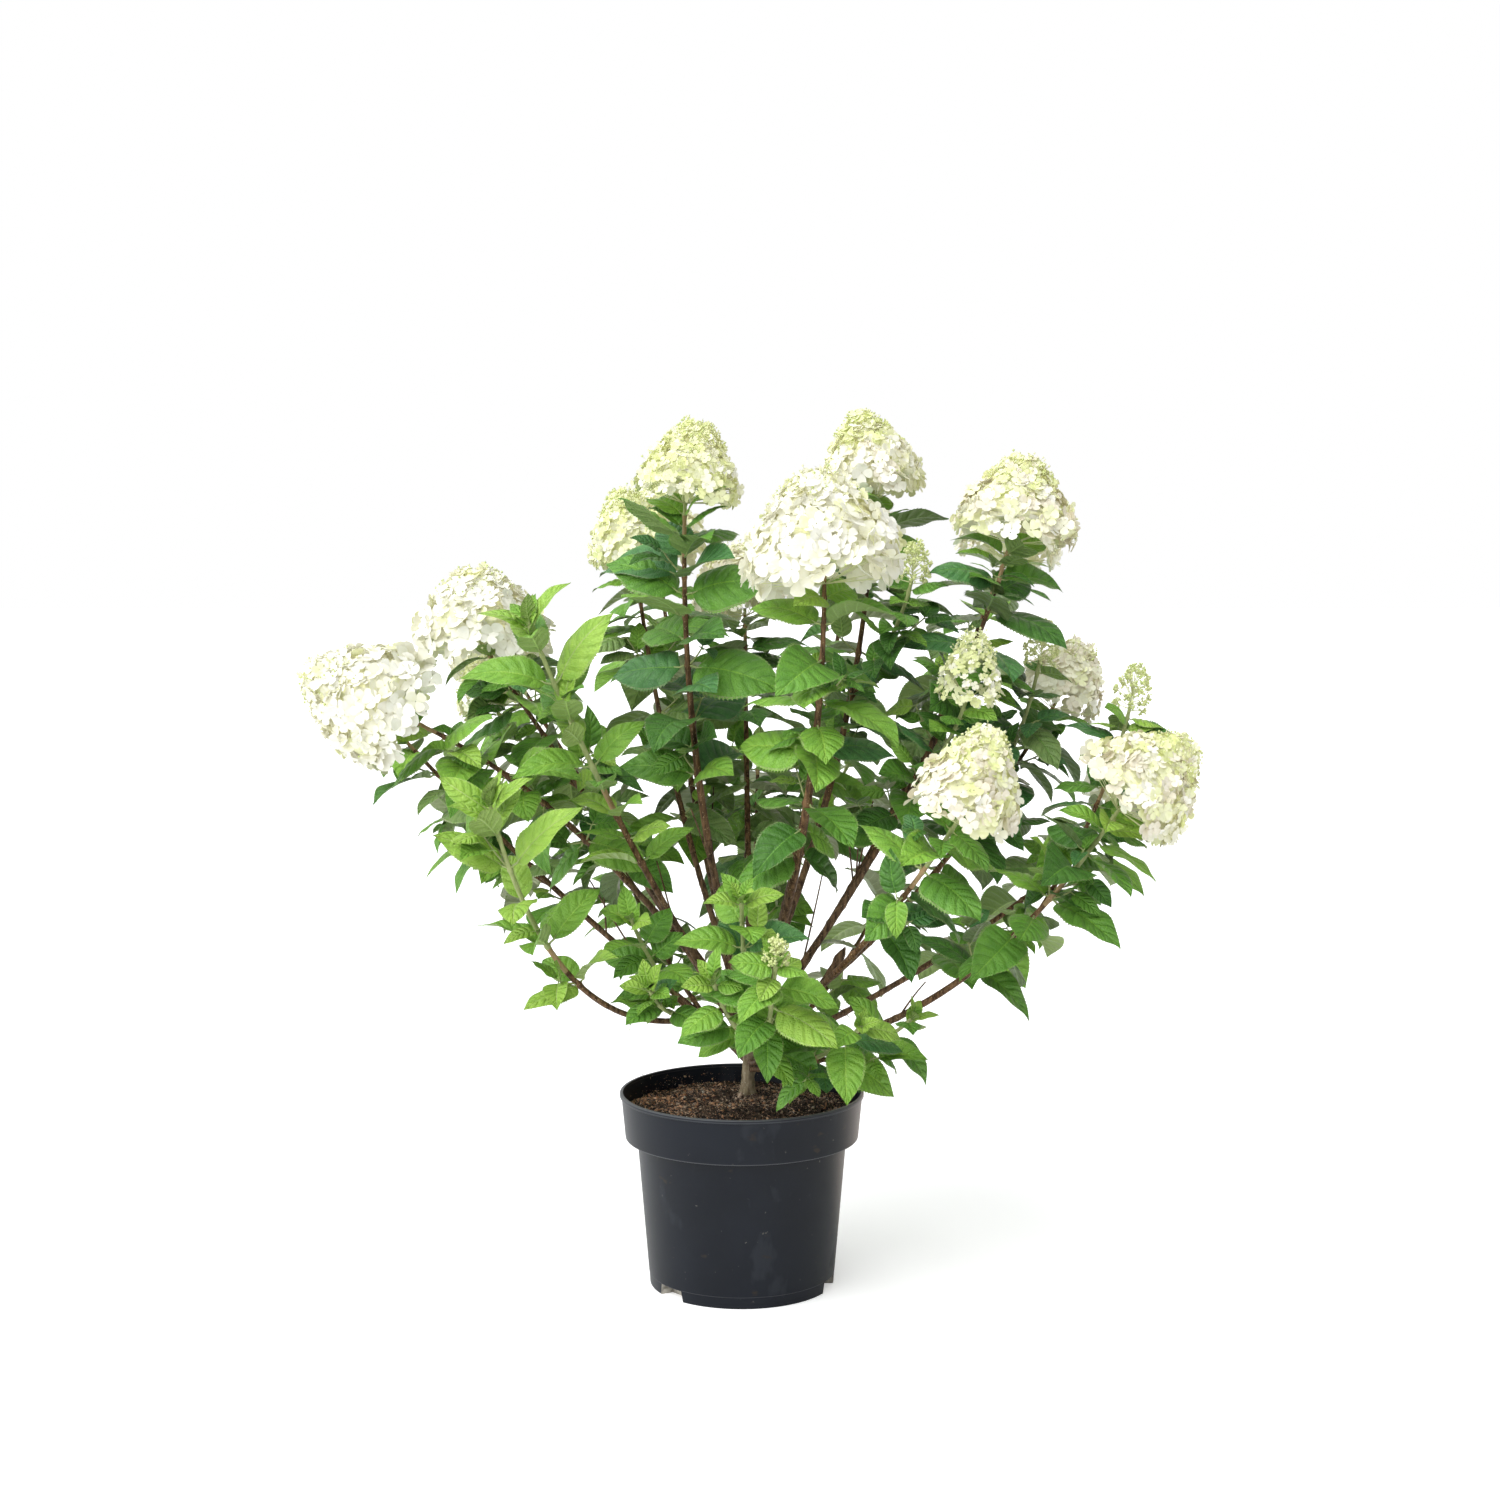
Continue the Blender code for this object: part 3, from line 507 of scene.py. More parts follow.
PEAT, FINE_BARK, BARK_CHIP, PERLITE = range(4)
CRUMB_COUNT = 11500
WALL_CRUMBS = 420
CHIP_SHARE = 0.09
FIBRE_SHARE = 0.16
FIBRE_STRETCH = 2.2
CRUMB_SIZE = (0.0009, 0.0032)
CHIP_SIZE = (0.0035, 0.0115)
CRUMB_SPREAD = (0.6, 1)
CRUMB_RAISE = (0, 0.25)
SLIM_FIBRE, SLIM_CRUMB = (0.15, 0.3), (0.55, 1)
FLAT_CHIP, FLAT_CRUMB = (0.12, 0.35), (0.5, 1)

# Crumbs on the pot's wall: round the far side, and fewer and further out the higher they cling.
WALL_SIDE = math.radians(118)
WALL_SPREAD = 0.40
WALL_RISE = 0.010
WALL_FOOT = 0.002
WALL_LEAN = 0.12
WALL_GAP = 0.0005
WALL_SIZE_GAP = 0.3
WALL_CRUMB_SIZE = 0.6
WALL_SHARES = (0.4, 0.8, 0.3, 0.05)

# Peat lies in patches, and russet chips on the left and in their heap; the rest is even.
PEAT_SHARE = 0.50
PEAT_PATCHES = 2.2
PATCH_WAVES = 26
LEAST_PEAT = 0.06
FINE_BARK_SHARE = 0.62
PERLITE_SHARE = 0.034
RUSSET_SHARE = 0.10
RUSSET_SIDE = math.radians(200)
RUSSET_SIDE_SHARE = 0.55
RUSSET_HEAP_SHARE = 2.5
RUSSET_CHIPS, RUSSET_CRUMBS = 3, 1.3


def earth_shares(x, y, angle, is_chip):
    """Shares of the four earths at a place on the ground."""
    peat = PEAT_SHARE - PEAT_PATCHES * ripple(x, y, 5, PATCH_WAVES)
    aside = max(math.cos(angle - RUSSET_SIDE), 0) * math.hypot(x, y) / SOIL_RADIUS
    russet = RUSSET_SHARE + RUSSET_SIDE_SHARE * aside
    russet += RUSSET_HEAP_SHARE * chip_heap(x, y)
    russet *= RUSSET_CHIPS if is_chip else RUSSET_CRUMBS
    return max(peat, LEAST_PEAT), FINE_BARK_SHARE, russet, PERLITE_SHARE


def add_crumbs(heap):
    rng = random.Random("crumbs")
    for i in range(CRUMB_COUNT + WALL_CRUMBS):
        angle, reach = rng.uniform(0, math.tau), math.sqrt(rng.random())
        is_chip, is_fibre = rng.random() < CHIP_SHARE, rng.random() < FIBRE_SHARE
        size = rng.uniform(*(CHIP_SIZE if is_chip else CRUMB_SIZE)) * rng.uniform(*CRUMB_SPREAD)
        size *= FIBRE_STRETCH if is_fibre and not is_chip else 1
        if i < CRUMB_COUNT:
            x, y = polar(reach * (SOIL_RADIUS - size / 2), angle)
            z = soil_height(x, y) + size * rng.uniform(*CRUMB_RAISE)
            shares = earth_shares(x, y, angle, is_chip)
        else:
            angle, rise = rng.gauss(WALL_SIDE, WALL_SPREAD), abs(rng.gauss(0, WALL_RISE))
            size *= WALL_CRUMB_SIZE
            z = SOIL_EDGE + WALL_FOOT + rise
            x, y = polar(SOIL_RADIUS + WALL_GAP + rise * WALL_LEAN - size * WALL_SIZE_GAP, angle)
            shares = WALL_SHARES
        kind = rng.choices((PEAT, FINE_BARK, BARK_CHIP, PERLITE), shares)[0]
        slimness = rng.uniform(*(SLIM_FIBRE if is_fibre else SLIM_CRUMB))
        flatness = rng.uniform(*(FLAT_CHIP if is_chip or is_fibre else FLAT_CRUMB))
        heap.add(crumb(rng, Vector((x, y, z)), size, slimness, flatness), OCTAHEDRON_FACES, kind)


GRIT_WAVES = 420
GRIT_HEIGHT = 0.0011


def add_soil_bed(heap):
    """The surface between the crumbs."""
    points = []
    for radius in evenly(SOIL_CENTRE, SOIL_RADIUS, SOIL_RINGS + 1):
        for j in range(SOIL_SPOKES):
            x, y = polar(radius, math.tau * j / SOIL_SPOKES)
            grit = ripple(x, y, 7, GRIT_WAVES) * GRIT_HEIGHT
            points.append((x, y, soil_height(x, y) + grit))
    faces = grid_faces(SOIL_RINGS + 1, SOIL_SPOKES, closed=True)
    heap.add(np.array(points), faces[:, ::-1], PEAT)


def earth(name, first, second):
    made = Finish(name, roughness=0.92, specular=0.25)
    tone = made.mottle(first, second, 210, low=0.42, high=0.58)
    made.shade({"Base Color": tone["Color"]})
    made.grain(1500, 0.0004, 0.7)
    return made.material


EARTHS = (
    earth("peat", (0.010, 0.006, 0.004), (0.080, 0.050, 0.033)),
    earth("fine_bark", (0.20, 0.130, 0.086), (0.58, 0.430, 0.320)),
    earth("bark_chip", (0.38, 0.185, 0.095), (0.66, 0.400, 0.250)),
    earth("perlite", (0.50, 0.45, 0.38), (0.68, 0.62, 0.54)),
)
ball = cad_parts["root_ball"]
ball.data.materials.clear()
ball.data.materials.append(EARTHS[PEAT])
compost = Heap("compost", EARTHS, "compost", [])
add_soil_bed(compost)
add_crumbs(compost)
compost.close()

# The trunk and the boughs
# One short woody foot, flared on the soil, that years of pruning have swollen into a knuckle. Canes
# spring from it. Their bare lower parts have thin tan to brown bark with raised leaf scars.
TRUNK_FOOT = Vector((0.006, 0.030, 0.2103))
TRUNK_TOP = Vector((0.011, 0.026, 0.292))
TRUNK_RADII = (0.0100, 0.0078, 0.0069, 0.0073, 0.0092, 0.0090)
TRUNK_SIDES = 30
TRUNK_ROWS = 64
TRUNK_BLEND = 9
TRUNK_ROUGHNESS = 1.9
BOUGH_SIDES = 14
BOUGH_STEP = 0.0035
SCAR_GAP = 0.052
SCAR_SWELL = 0.16
SCAR_REACH = 0.0022
TIP_RADIUS = 0.0024
OLD_BARK, CANE_BARK = range(2)

# Canes, as in the solids: (name, parent, place along the parent, tip, outward bow, arch,
# sideways bow, foot radius, share of the length that is bare, longest leaf).
CANES = (
    ("tall_centre", "trunk", 0.98, (0.088, -0.150, 0.816), 0.050, 0, 0, 0.0068, 0.36, 0.108),
    ("tall_left", "trunk", 0.95, (-0.062, -0.050, 0.900), 0.034, 0, 0, 0.0052, 0.38, 0.122),
    ("top_right", "tall_centre", 0.20, (0.153, 0.100, 0.909), 0.040, 0, 0, 0.0046, 0.34, 0.108),
    ("right_upper", "trunk", 0.90, (0.307, 0.020, 0.857), 0.030, -0.010, 0, 0.0048, 0.38, 0.108),
    ("right_mid", "trunk", 0.80, (0.377, 0.160, 0.658), 0.010, -0.035, 0, 0.0042, 0.44, 0.106),
    ("far_right", "trunk", 0.55, (0.418, -0.096, 0.566), 0.020, -0.062, 0, 0.0044, 0.40, 0.104),
    ("front_right", "trunk", 0.82, (0.222, -0.296, 0.575), 0.010, -0.020, 0, 0.0040, 0.40, 0.096),
    ("far_left", "trunk", 0.86, (-0.376, -0.080, 0.659), 0, 0.052, 0, 0.0046, 0.42, 0.104),
    ("left_upper", "trunk", 0.93, (-0.305, 0.080, 0.735), 0.010, 0.010, 0, 0.0042, 0.40, 0.104),
    ("left_shoot", "trunk", 0.78, (-0.227, -0.14, 0.763), 0.022, -0.012, 0.02, 0.0042, 0.42, 0.102),
    ("low_left", "left_shoot", 0.10, (-0.263, -0.200, 0.574), 0.036, -0.086, 0, 0.0036, 0.38, 0.10),
    ("back_left", "trunk", 0.92, (-0.128, 0.158, 0.830), 0.026, 0, 0, 0.0040, 0.38, 0.106),
    ("back_centre", "trunk", 0.94, (0.003, 0.240, 0.768), 0.020, 0, 0, 0.0042, 0.38, 0.104),
    ("back_tall", "trunk", 0.84, (0.136, 0.369, 0.833), 0.040, 0, 0, 0.0046, 0.38, 0.108),
    ("back_mid", "trunk", 0.74, (-0.108, 0.350, 0.836), 0.040, 0, 0, 0.0044, 0.38, 0.108),
    ("back_right", "trunk", 0.70, (0.335, 0.320, 0.838), 0.030, -0.010, 0, 0.0044, 0.38, 0.108),
    ("back_far_left", "trunk", 0.66, (-0.306, 0.316, 0.709), 0.020, 0.020, 0, 0.0042, 0.40, 0.104),
    ("back_far_right", "trunk", 0.52, (0.482, 0.229, 0.526), 0.020, -0.020, 0, 0.0040, 0.40, 0.104),
    ("side_left", "trunk", 0.58, (-0.428, 0.174, 0.633), 0.020, 0, 0, 0.0040, 0.40, 0.100),
    ("back_low", "trunk", 0.60, (0.020, 0.440, 0.580), 0.030, -0.020, 0, 0.0040, 0.38, 0.106),
    ("front_mid", "trunk", 0.48, (0.036, -0.262, 0.420), 0.024, -0.030, 0, 0.0030, 0.34, 0.086),
    ("front_rosette", "trunk", 0.70, (0.000, -0.178, 0.470), 0.012, -0.010, 0, 0.0030, 0.42, 0.076),
    ("low_right", "trunk", 0.36, (0.126, -0.200, 0.338), 0.020, -0.008, 0, 0.0030, 0.34, 0.086),
    ("low_inner", "trunk", 0.62, (-0.120, -0.122, 0.440), 0.016, -0.016, 0, 0.0028, 0.36, 0.072),
    ("low_back", "trunk", 0.44, (-0.150, 0.330, 0.430), 0.020, -0.020, 0, 0.0030, 0.36, 0.092),
    ("low_behind", "trunk", 0.40, (0.190, 0.320, 0.420), 0.020, -0.020, 0, 0.0030, 0.36, 0.092),
)


class Cane:
    """A smooth curve from start to tip that bows off the straight line between them."""

    SAMPLES = 64

    def __init__(self, start, tip, out=0, arch=0, side=0):
        chord = tip - start
        heading = Vector((chord.x, chord.y, 0)).normalized()
        across = UP.cross(heading)
        handle = (start + tip) / 2 + 2 * (heading * out + UP * arch + across * side)
        self.points = [
            start * (1 - t) ** 2 + handle * 2 * t * (1 - t) + tip * t * t
            for t in evenly(0, 1, self.SAMPLES + 1)
        ]
        self.marks = [0.0]
        for a, b in zip(self.points, self.points[1:]):
            self.marks.append(self.marks[-1] + (b - a).length)
        self.length = self.marks[-1]

    def at(self, distance):
        """The point at a distance along the curve."""
        distance = min(max(distance, 0.0), self.length)
        i = 1
        while i < self.SAMPLES and self.marks[i] < distance:
            i += 1
        share = (distance - self.marks[i - 1]) / (self.marks[i] - self.marks[i - 1])
        return self.points[i - 1].lerp(self.points[i], share)

    def through(self, distances):
        return [self.at(distance) for distance in distances]

    def direction(self, distance):
        step = self.length / self.SAMPLES
        return (self.at(distance + step) - self.at(distance - step)).normalized()


def capped_faces(rows, sides):
    """A closed grid's faces, and a fan at each end to one more corner: first the foot's."""
    count = rows * sides
    last = count - sides
    fans = [(j, count, (j + 1) % sides, -1) for j in range(sides)]
    fans += [(last + j, last + (j + 1) % sides, count + 1, -1) for j in range(sides)]
    return np.concatenate([grid_faces(rows, sides, closed=True), fans])


# A way that no stem runs, from which the sides of every stem are found.
SLANT = (0.31, 0.17, 0.93)


def tube(path, radii, sides):
    """A tube's corners, ring by ring along its path, and its faces. It ends in points."""
    path = np.array([tuple(point) for point in path], float)
    ahead = np.gradient(path, axis=0)
    ahead /= np.linalg.norm(ahead, axis=1)[:, None]
    side = np.cross(ahead, SLANT)
    side /= np.linalg.norm(side, axis=1)[:, None]
    up = np.cross(ahead, side)
    turns = np.arange(sides) * math.tau / sides
    ring = np.cos(turns)[None, :, None] * side[:, None] + np.sin(turns)[None, :, None] * up[:, None]
    radii = np.asarray(radii, float).reshape(len(path), -1, 1)
    points = (path[:, None] + ring * radii).reshape(-1, 3)
    return np.concatenate([points, path[:1], path[-1:]]), capped_faces(len(path), sides)


def bare_radius(foot_radius, bare):
    """A cane's radius at the top of its bare part."""
    return foot_radius + (TIP_RADIUS - foot_radius) * bare


# Bark relief: long ridges, knobs and a fine grain, as (waves to a metre round the stem, waves
# along it, depth as a share of the radius).
BARK_WAVES = ((420, 60, 0.07), (130, 110, 0.08), (900, 260, 0.05))


def relief(x, y, z):
    return sum(
        depth * noise.noise(Vector((x * around, y * around, z * along)))
        for around, along, depth in BARK_WAVES
    )


def add_wood(heap, path, radii, sides, slot, roughness=1):
    """A length of trunk or cane with the bark's relief."""
    rows = []
    for point, radius in zip(path, radii):
        row = []
        for j in range(sides):
            x, y = polar(radius, math.tau * j / sides)
            row.append(radius * (1 + roughness * relief(point.x + x, point.y + y, point.z)))
        rows.append(row)
    heap.add(*tube(path, rows, sides), slot)


def scar_swell(distance):
    """Canes are thicker where leaves once stood."""
    off = (distance / SCAR_GAP) % 1 - 0.5
    return 1 + SCAR_SWELL * bell(off * SCAR_GAP, SCAR_REACH)


def make_trunk(heap):
    axis = Cane(TRUNK_FOOT, TRUNK_TOP)
    places = evenly(0, axis.length, TRUNK_ROWS)
    marks = np.linspace(0, axis.length, len(TRUNK_RADII))
    radii = np.pad(np.interp(places, marks, TRUNK_RADII), TRUNK_BLEND // 2, mode="edge")
    radii = np.convolve(radii, np.ones(TRUNK_BLEND) / TRUNK_BLEND, "valid")
    add_wood(heap, axis.through(places), radii, TRUNK_SIDES, OLD_BARK, TRUNK_ROUGHNESS)
    return axis


def make_boughs(heap, axis):
    """The bare part of each cane, sunk a little into its parent. Returns the whole canes."""
    curves = {"trunk": axis}
    for name, parent, along, tip, out, arch, side, foot_radius, bare, _ in CANES:
        root = curves[parent].at(along * curves[parent].length)
        curves[name] = curve = Cane(root, Vector(tip), out, arch, side)
        top = curve.length * bare
        places = evenly(0, top, max(int(top / BOUGH_STEP), 8))
        loss = bare_radius(foot_radius, bare) - foot_radius
        radii = [(foot_radius + loss * place / top) * scar_swell(place) for place in places]
        add_wood(heap, curve.through(places), radii, BOUGH_SIDES, CANE_BARK)
    return curves


# The canes that dead twigs stand on: all but the first and the short ones that end the table.
LONG_CANES = CANES[1:20]
DEAD_TWIGS = 18
DEAD_TWIG_PLACE = (0.25, 0.95)
DEAD_TWIG_INWARDS = (0, 1.5)
DEAD_TWIG_RISE = 0.6
DEAD_TWIG_SWAY = 0.6
DEAD_TWIG_LENGTH = (0.05, 0.12)
DEAD_TWIG_ARCH = (-0.08, 0.04)
DEAD_TWIG_RADII = np.linspace(0.0013, 0.0013 * 0.65, 8)
DEAD_TWIG_SIDES = 5


def sway(rng, reach):
    """A way off in any direction, up to the reach along each axis."""
    return Vector([rng.uniform(-reach, reach) for _ in range(3)])


def add_dead_twigs(heap, curves):
    """Thin bare twigs inside the crown, which died back where it was too dark for leaves."""
    rng = random.Random("dead twigs")
    for _ in range(DEAD_TWIGS):
        name, *_, bare, _ = rng.choice(LONG_CANES)
        cane = curves[name]
        place = cane.length * bare * rng.uniform(*DEAD_TWIG_PLACE)
        start, ahead = cane.at(place), cane.direction(place)
        inwards = Vector((TRUNK_TOP.x - start.x, TRUNK_TOP.y - start.y, 0))
        aim = ahead + inwards * rng.uniform(*DEAD_TWIG_INWARDS) + UP * DEAD_TWIG_RISE
        aim = (aim + sway(rng, DEAD_TWIG_SWAY)).normalized()
        length = rng.uniform(*DEAD_TWIG_LENGTH)
        twig = Cane(start, start + aim * length, arch=rng.uniform(*DEAD_TWIG_ARCH) * length)
        path = twig.through(evenly(0, length, len(DEAD_TWIG_RADII)))
        heap.add(*tube(path, DEAD_TWIG_RADII, DEAD_TWIG_SIDES), CANE_BARK)


STUB_PLACE = 0.8
STUB_TIP = Vector((0.118, 0.0, 0.388))
STUB_OUT = 0.006
STUB_ARCH = -0.014
STUB_RADIUS = 0.0046
STUB_TAPER = 0.15
STUB_ROUGHNESS = 1.6

# The stub's last knot: how much it swells, how far from the tip, and over what reach.
STUB_SWELL, STUB_KNOT, STUB_KNOT_REACH = 0.5, 0.016, 0.006
STUB_POINT = 0.010
STUB_BLUNTNESS = 0.25


def add_pruned_stub(heap, axis):
    """An old cane that was cut back to a knuckle, with a dry pointed end beside the new growth."""
    cane = Cane(axis.at(STUB_PLACE * axis.length), STUB_TIP, STUB_OUT, STUB_ARCH)
    places = evenly(0, cane.length, int(cane.length / BOUGH_STEP))
    radii = []
    for place in places:
        radius = STUB_RADIUS * (1 - STUB_TAPER * place / cane.length) * scar_swell(place)
        radius *= 1 + STUB_SWELL * bell(cane.length - STUB_KNOT - place, STUB_KNOT_REACH)
        radii.append(radius * min((cane.length - place) / STUB_POINT + STUB_BLUNTNESS, 1))
    add_wood(heap, cane.through(places), radii, BOUGH_SIDES, CANE_BARK, STUB_ROUGHNESS)


def bark(name, first, second, lenticel, roughness):
    """Thin bark in long streaks, dotted with paler pores."""
    made = Finish(name, roughness, specular=0.22)
    streaks = made.mottle(first, second, 300, (1, 1, 0.15), 0.35, 0.65)
    pores = made.mottle(streaks["Color"], lenticel, 700, (1, 1, 0.6), 0.62, 0.68)
    made.shade({"Base Color": pores["Color"]})
    made.bump(streaks["Mask"], 0.0005, 0.6)
    return made.material


BARKS = (
    bark("old_bark", (0.175, 0.130, 0.076), (0.40, 0.325, 0.215), (0.50, 0.45, 0.34), 0.85),
    bark("cane_bark", (0.046, 0.025, 0.013), (0.200, 0.118, 0.062), (0.36, 0.25, 0.15), 0.65),
)
BOUGHS = [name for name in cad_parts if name.startswith("bough_")]
wood = Heap("trunk_and_boughs", BARKS, "bark", ["trunk", *BOUGHS])
curves = make_boughs(wood, make_trunk(wood))
add_dead_twigs(wood, curves)
add_pruned_stub(wood, curves["trunk"])
wood.close()

# The leafy stems
# Each cane goes on through its leaves as a round green to red-brown stem, a little swollen where a
# pair or three of leaves stand. Short twigs grow out of the lower leaf axils.

# Side shoots: (mass, place along its cane, tip, outward bow, arch, longest leaf), as in the solids.
SIDE_SHOOTS = (
    ("top_right", 0.56, (0.193, 0.020, 0.807), 0.012, 0, 0.076),
    ("right_upper", 0.50, (0.250, -0.060, 0.682), 0.014, 0, 0.084),
    ("right_mid", 0.66, (0.343, 0.050, 0.714), 0.014, 0, 0.084),
    ("far_right", 0.72, (0.446, 0.040, 0.662), 0.020, 0, 0.080),
    ("left_upper", 0.62, (-0.300, 0.165, 0.655), 0.020, 0, 0.080),
    ("front_mid", 0.45, (-0.030, -0.215, 0.392), 0.010, -0.006, 0.070),
    ("low_right", 0.45, (0.185, -0.120, 0.330), 0.012, -0.006, 0.078),
    ("low_inner", 0.45, (-0.098, -0.165, 0.372), 0.010, -0.010, 0.064),
    ("back_low", 0.50, (0.140, 0.420, 0.560), 0.014, 0, 0.096),
    ("side_left", 0.52, (-0.360, 0.215, 0.520), 0.014, 0, 0.096),
)

# Three half-open heads on the right take darker paints, as painted shade for the weaker light on
# that side.
# Flower heads: (mass, shoot number, way its axis points, length, width, age).
HEADS = (
    ("tall_centre", 0, (-0.10, 0.10, 1.0), 0.134, 0.168, "white"),
    ("tall_left", 0, (0.20, 0.00, 1.0), 0.104, 0.116, "lime"),
    ("top_right", 0, (-0.18, 0.05, 1.0), 0.116, 0.122, "half"),
    ("right_upper", 0, (0.16, 0.00, 1.0), 0.114, 0.140, "half_in_painted_shade"),
    ("right_mid", 0, (0.45, 0.05, 1.0), 0.100, 0.098, "beige"),
    ("far_right", 0, (0.75, -0.10, 0.7), 0.124, 0.136, "half_in_painted_shade"),
    ("front_right", 0, (0.30, -0.10, 0.9), 0.118, 0.110, "half_in_painted_shade"),
    ("far_left", 0, (-0.85, -0.20, 0.45), 0.138, 0.138, "white"),
    ("left_upper", 0, (-0.06, 0.00, 1.0), 0.104, 0.152, "white"),
    ("back_left", 0, (-0.20, 0.10, 1.0), 0.106, 0.104, "lime"),
    ("back_centre", 0, (-0.30, 0.20, 1.0), 0.104, 0.122, "beige"),
    ("back_tall", 0, (0.05, 0.25, 1.0), 0.128, 0.136, "white"),
    ("back_mid", 0, (-0.10, 0.25, 1.0), 0.120, 0.124, "half"),
    ("back_right", 0, (0.25, 0.25, 1.0), 0.112, 0.128, "half"),
    ("back_far_left", 0, (-0.40, 0.35, 0.9), 0.116, 0.136, "white"),
    ("back_far_right", 0, (0.60, 0.30, 0.8), 0.110, 0.132, "white"),
    ("side_left", 0, (-0.75, 0.15, 0.7), 0.108, 0.122, "half"),
    ("top_right", 1, (0.10, -0.05, 1.0), 0.050, 0.046, "bud"),
    ("right_upper", 1, (0.12, -0.10, 1.0), 0.086, 0.070, "opening"),
    ("right_mid", 1, (0.15, 0.00, 1.0), 0.054, 0.046, "bud"),
    ("far_right", 1, (0.15, 0.00, 1.0), 0.056, 0.052, "bud"),
    ("left_upper", 1, (-0.30, 0.10, 0.8), 0.070, 0.086, "opening"),
)
HEAD_SINK = 0.14
HEAD_BELLY = 0.58
HEAD_ROUND = 0.65

# Young and vigorous shoots hold their leaves up, by this much more than the others.
UPHELD = {
    "left_shoot": 0.60,
    "low_left": 0.60,
    "tall_left": 0.35,
    "front_rosette": 0.35,
    "low_inner": 0.30,
    "top_right": 0.20,
    "right_upper": 0.20,
}
JOINT_COLLAR = 0.004
TOP_NODE = 0.008
LOWEST_NODE = 0.014
TOP_GAP = 0.030
NODE_GAP = 0.062
GAP_GROWTH = 1.22
STEM_SIDES = 9
STEM_STEP = 0.0032
STEM_END = 0.8
STEM_GROWTH = 1.1
NODE_SWELL = 0.38
NODE_REACH = 0.0026


class Shoot:
    """One leafy stem: its curve, its leaf nodes and its flower head, if it has one."""

    def __init__(self, mass, number, curve, low, longest, radius):
        self.mass, self.number, self.seed = mass, number, f"{mass} {number}"
        self.held = UPHELD.get(mass, 0)
        self.curve, self.low, self.longest, self.radius = curve, low, longest, radius
        self.head, high = None, curve.length
        for head_mass, shoot, aim, length, width, age in HEADS:
            if (head_mass, shoot) == (mass, number):
                aim = Vector(aim).normalized()
                sunk = HEAD_SINK * length
                high -= sunk
                self.head = (curve.at(curve.length) - aim * sunk, aim, length, width, age)
        self.nodes, gap, at = [], TOP_GAP, high - TOP_NODE
        while at > low + LOWEST_NODE:
            self.nodes.append(at)
            at -= gap
            gap = min(gap * GAP_GROWTH, NODE_GAP)
        halves = [(a + b) / 2 for a, b in zip(self.nodes, self.nodes[1:])]
        self.breaks = [low + JOINT_COLLAR, *reversed(halves), curve.length]

    def joint(self, at):
        """The middle of the solid's stem at a place along the curve, between two of its breaks."""
        low = max(place for place in self.breaks if place <= at)
        high = min(place for place in self.breaks if place > at)
        return self.curve.at(low).lerp(self.curve.at(high), (at - low) / (high - low))

    def radius_at(self, place):
        share = (place - self.low) / (self.curve.length - self.low)
        radius = (self.radius + (TIP_RADIUS * STEM_END - self.radius) * share) * STEM_GROWTH
        near = min((abs(place - node) for node in self.nodes), default=1)
        return radius * (1 + NODE_SWELL * bell(near, NODE_REACH))


def all_shoots():
    """Every cane's leafy upper part, each followed by the side shoots that it bears."""
    for name, *_, foot_radius, bare, longest in CANES:
        main = curves[name]
        yield Shoot(name, 0, main, main.length * bare, longest, bare_radius(foot_radius, bare))
        number = 0
        for mass, along, tip, out, arch, side_leaf in SIDE_SHOOTS:
            if mass == name:
                number += 1
                curve = Cane(main.at(along * main.length), Vector(tip), out, arch)
                yield Shoot(name, number, curve, 0, side_leaf, TIP_RADIUS)


STEM_BROWN, STEM_TAN, STEM_GREEN = range(3)

# Where stems turn from brown to green, as a share of their leafy part.
GREEN_FROM = {
    "tall_centre": 0.97,
    "tall_left": 0.82,
    "left_shoot": 0.30,
    "low_left": 0.25,
    "front_mid": 0.35,
    "front_rosette": 0.40,
    "low_right": 0.30,
    "low_inner": 0.30,
    "far_right": 0.55,
    "front_right": 0.60,
}
CANE_GREEN_FROM = 0.86
SIDE_GREEN_FROM = 0.25
TAN_SHARE = 0.12


def add_stem(heap, shoot):
    """The stem, brown at its foot, tan for a short stretch and green to its tip."""
    low, high = shoot.low, shoot.curve.length
    places = evenly(low, high, max(int((high - low) / STEM_STEP), 8))
    radii = [shoot.radius_at(place) for place in places]
    points, faces = tube(shoot.curve.through(places), radii, STEM_SIDES)
    usual = SIDE_GREEN_FROM if shoot.number else CANE_GREEN_FROM
    brown = GREEN_FROM.get(shoot.mass, usual)
    share = np.arange(len(faces)) // STEM_SIDES / (len(places) - 1)
    green = np.where(share < brown + TAN_SHARE, STEM_TAN, STEM_GREEN)
    slots = np.where(share < brown, STEM_BROWN, green)
    slots[-2 * STEM_SIDES : -STEM_SIDES] = STEM_BROWN
    slots[-STEM_SIDES:] = STEM_GREEN
    heap.add(points, faces, slots)


STEMS = (
    bark("stem_brown", (0.048, 0.022, 0.009), (0.215, 0.118, 0.055), (0.44, 0.30, 0.16), 0.5),
    bark("stem_tan", (0.33, 0.20, 0.10), (0.43, 0.31, 0.16), (0.50, 0.40, 0.25), 0.5),
    bark("stem_green", (0.33, 0.38, 0.15), (0.43, 0.47, 0.21), (0.52, 0.50, 0.30), 0.45),
)
MASSES = [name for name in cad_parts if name.startswith("mass_")]
stems = Heap("stems", STEMS, "bark", MASSES)
shoots = list(all_shoots())
for shoot in shoots:
    add_stem(stems, shoot)
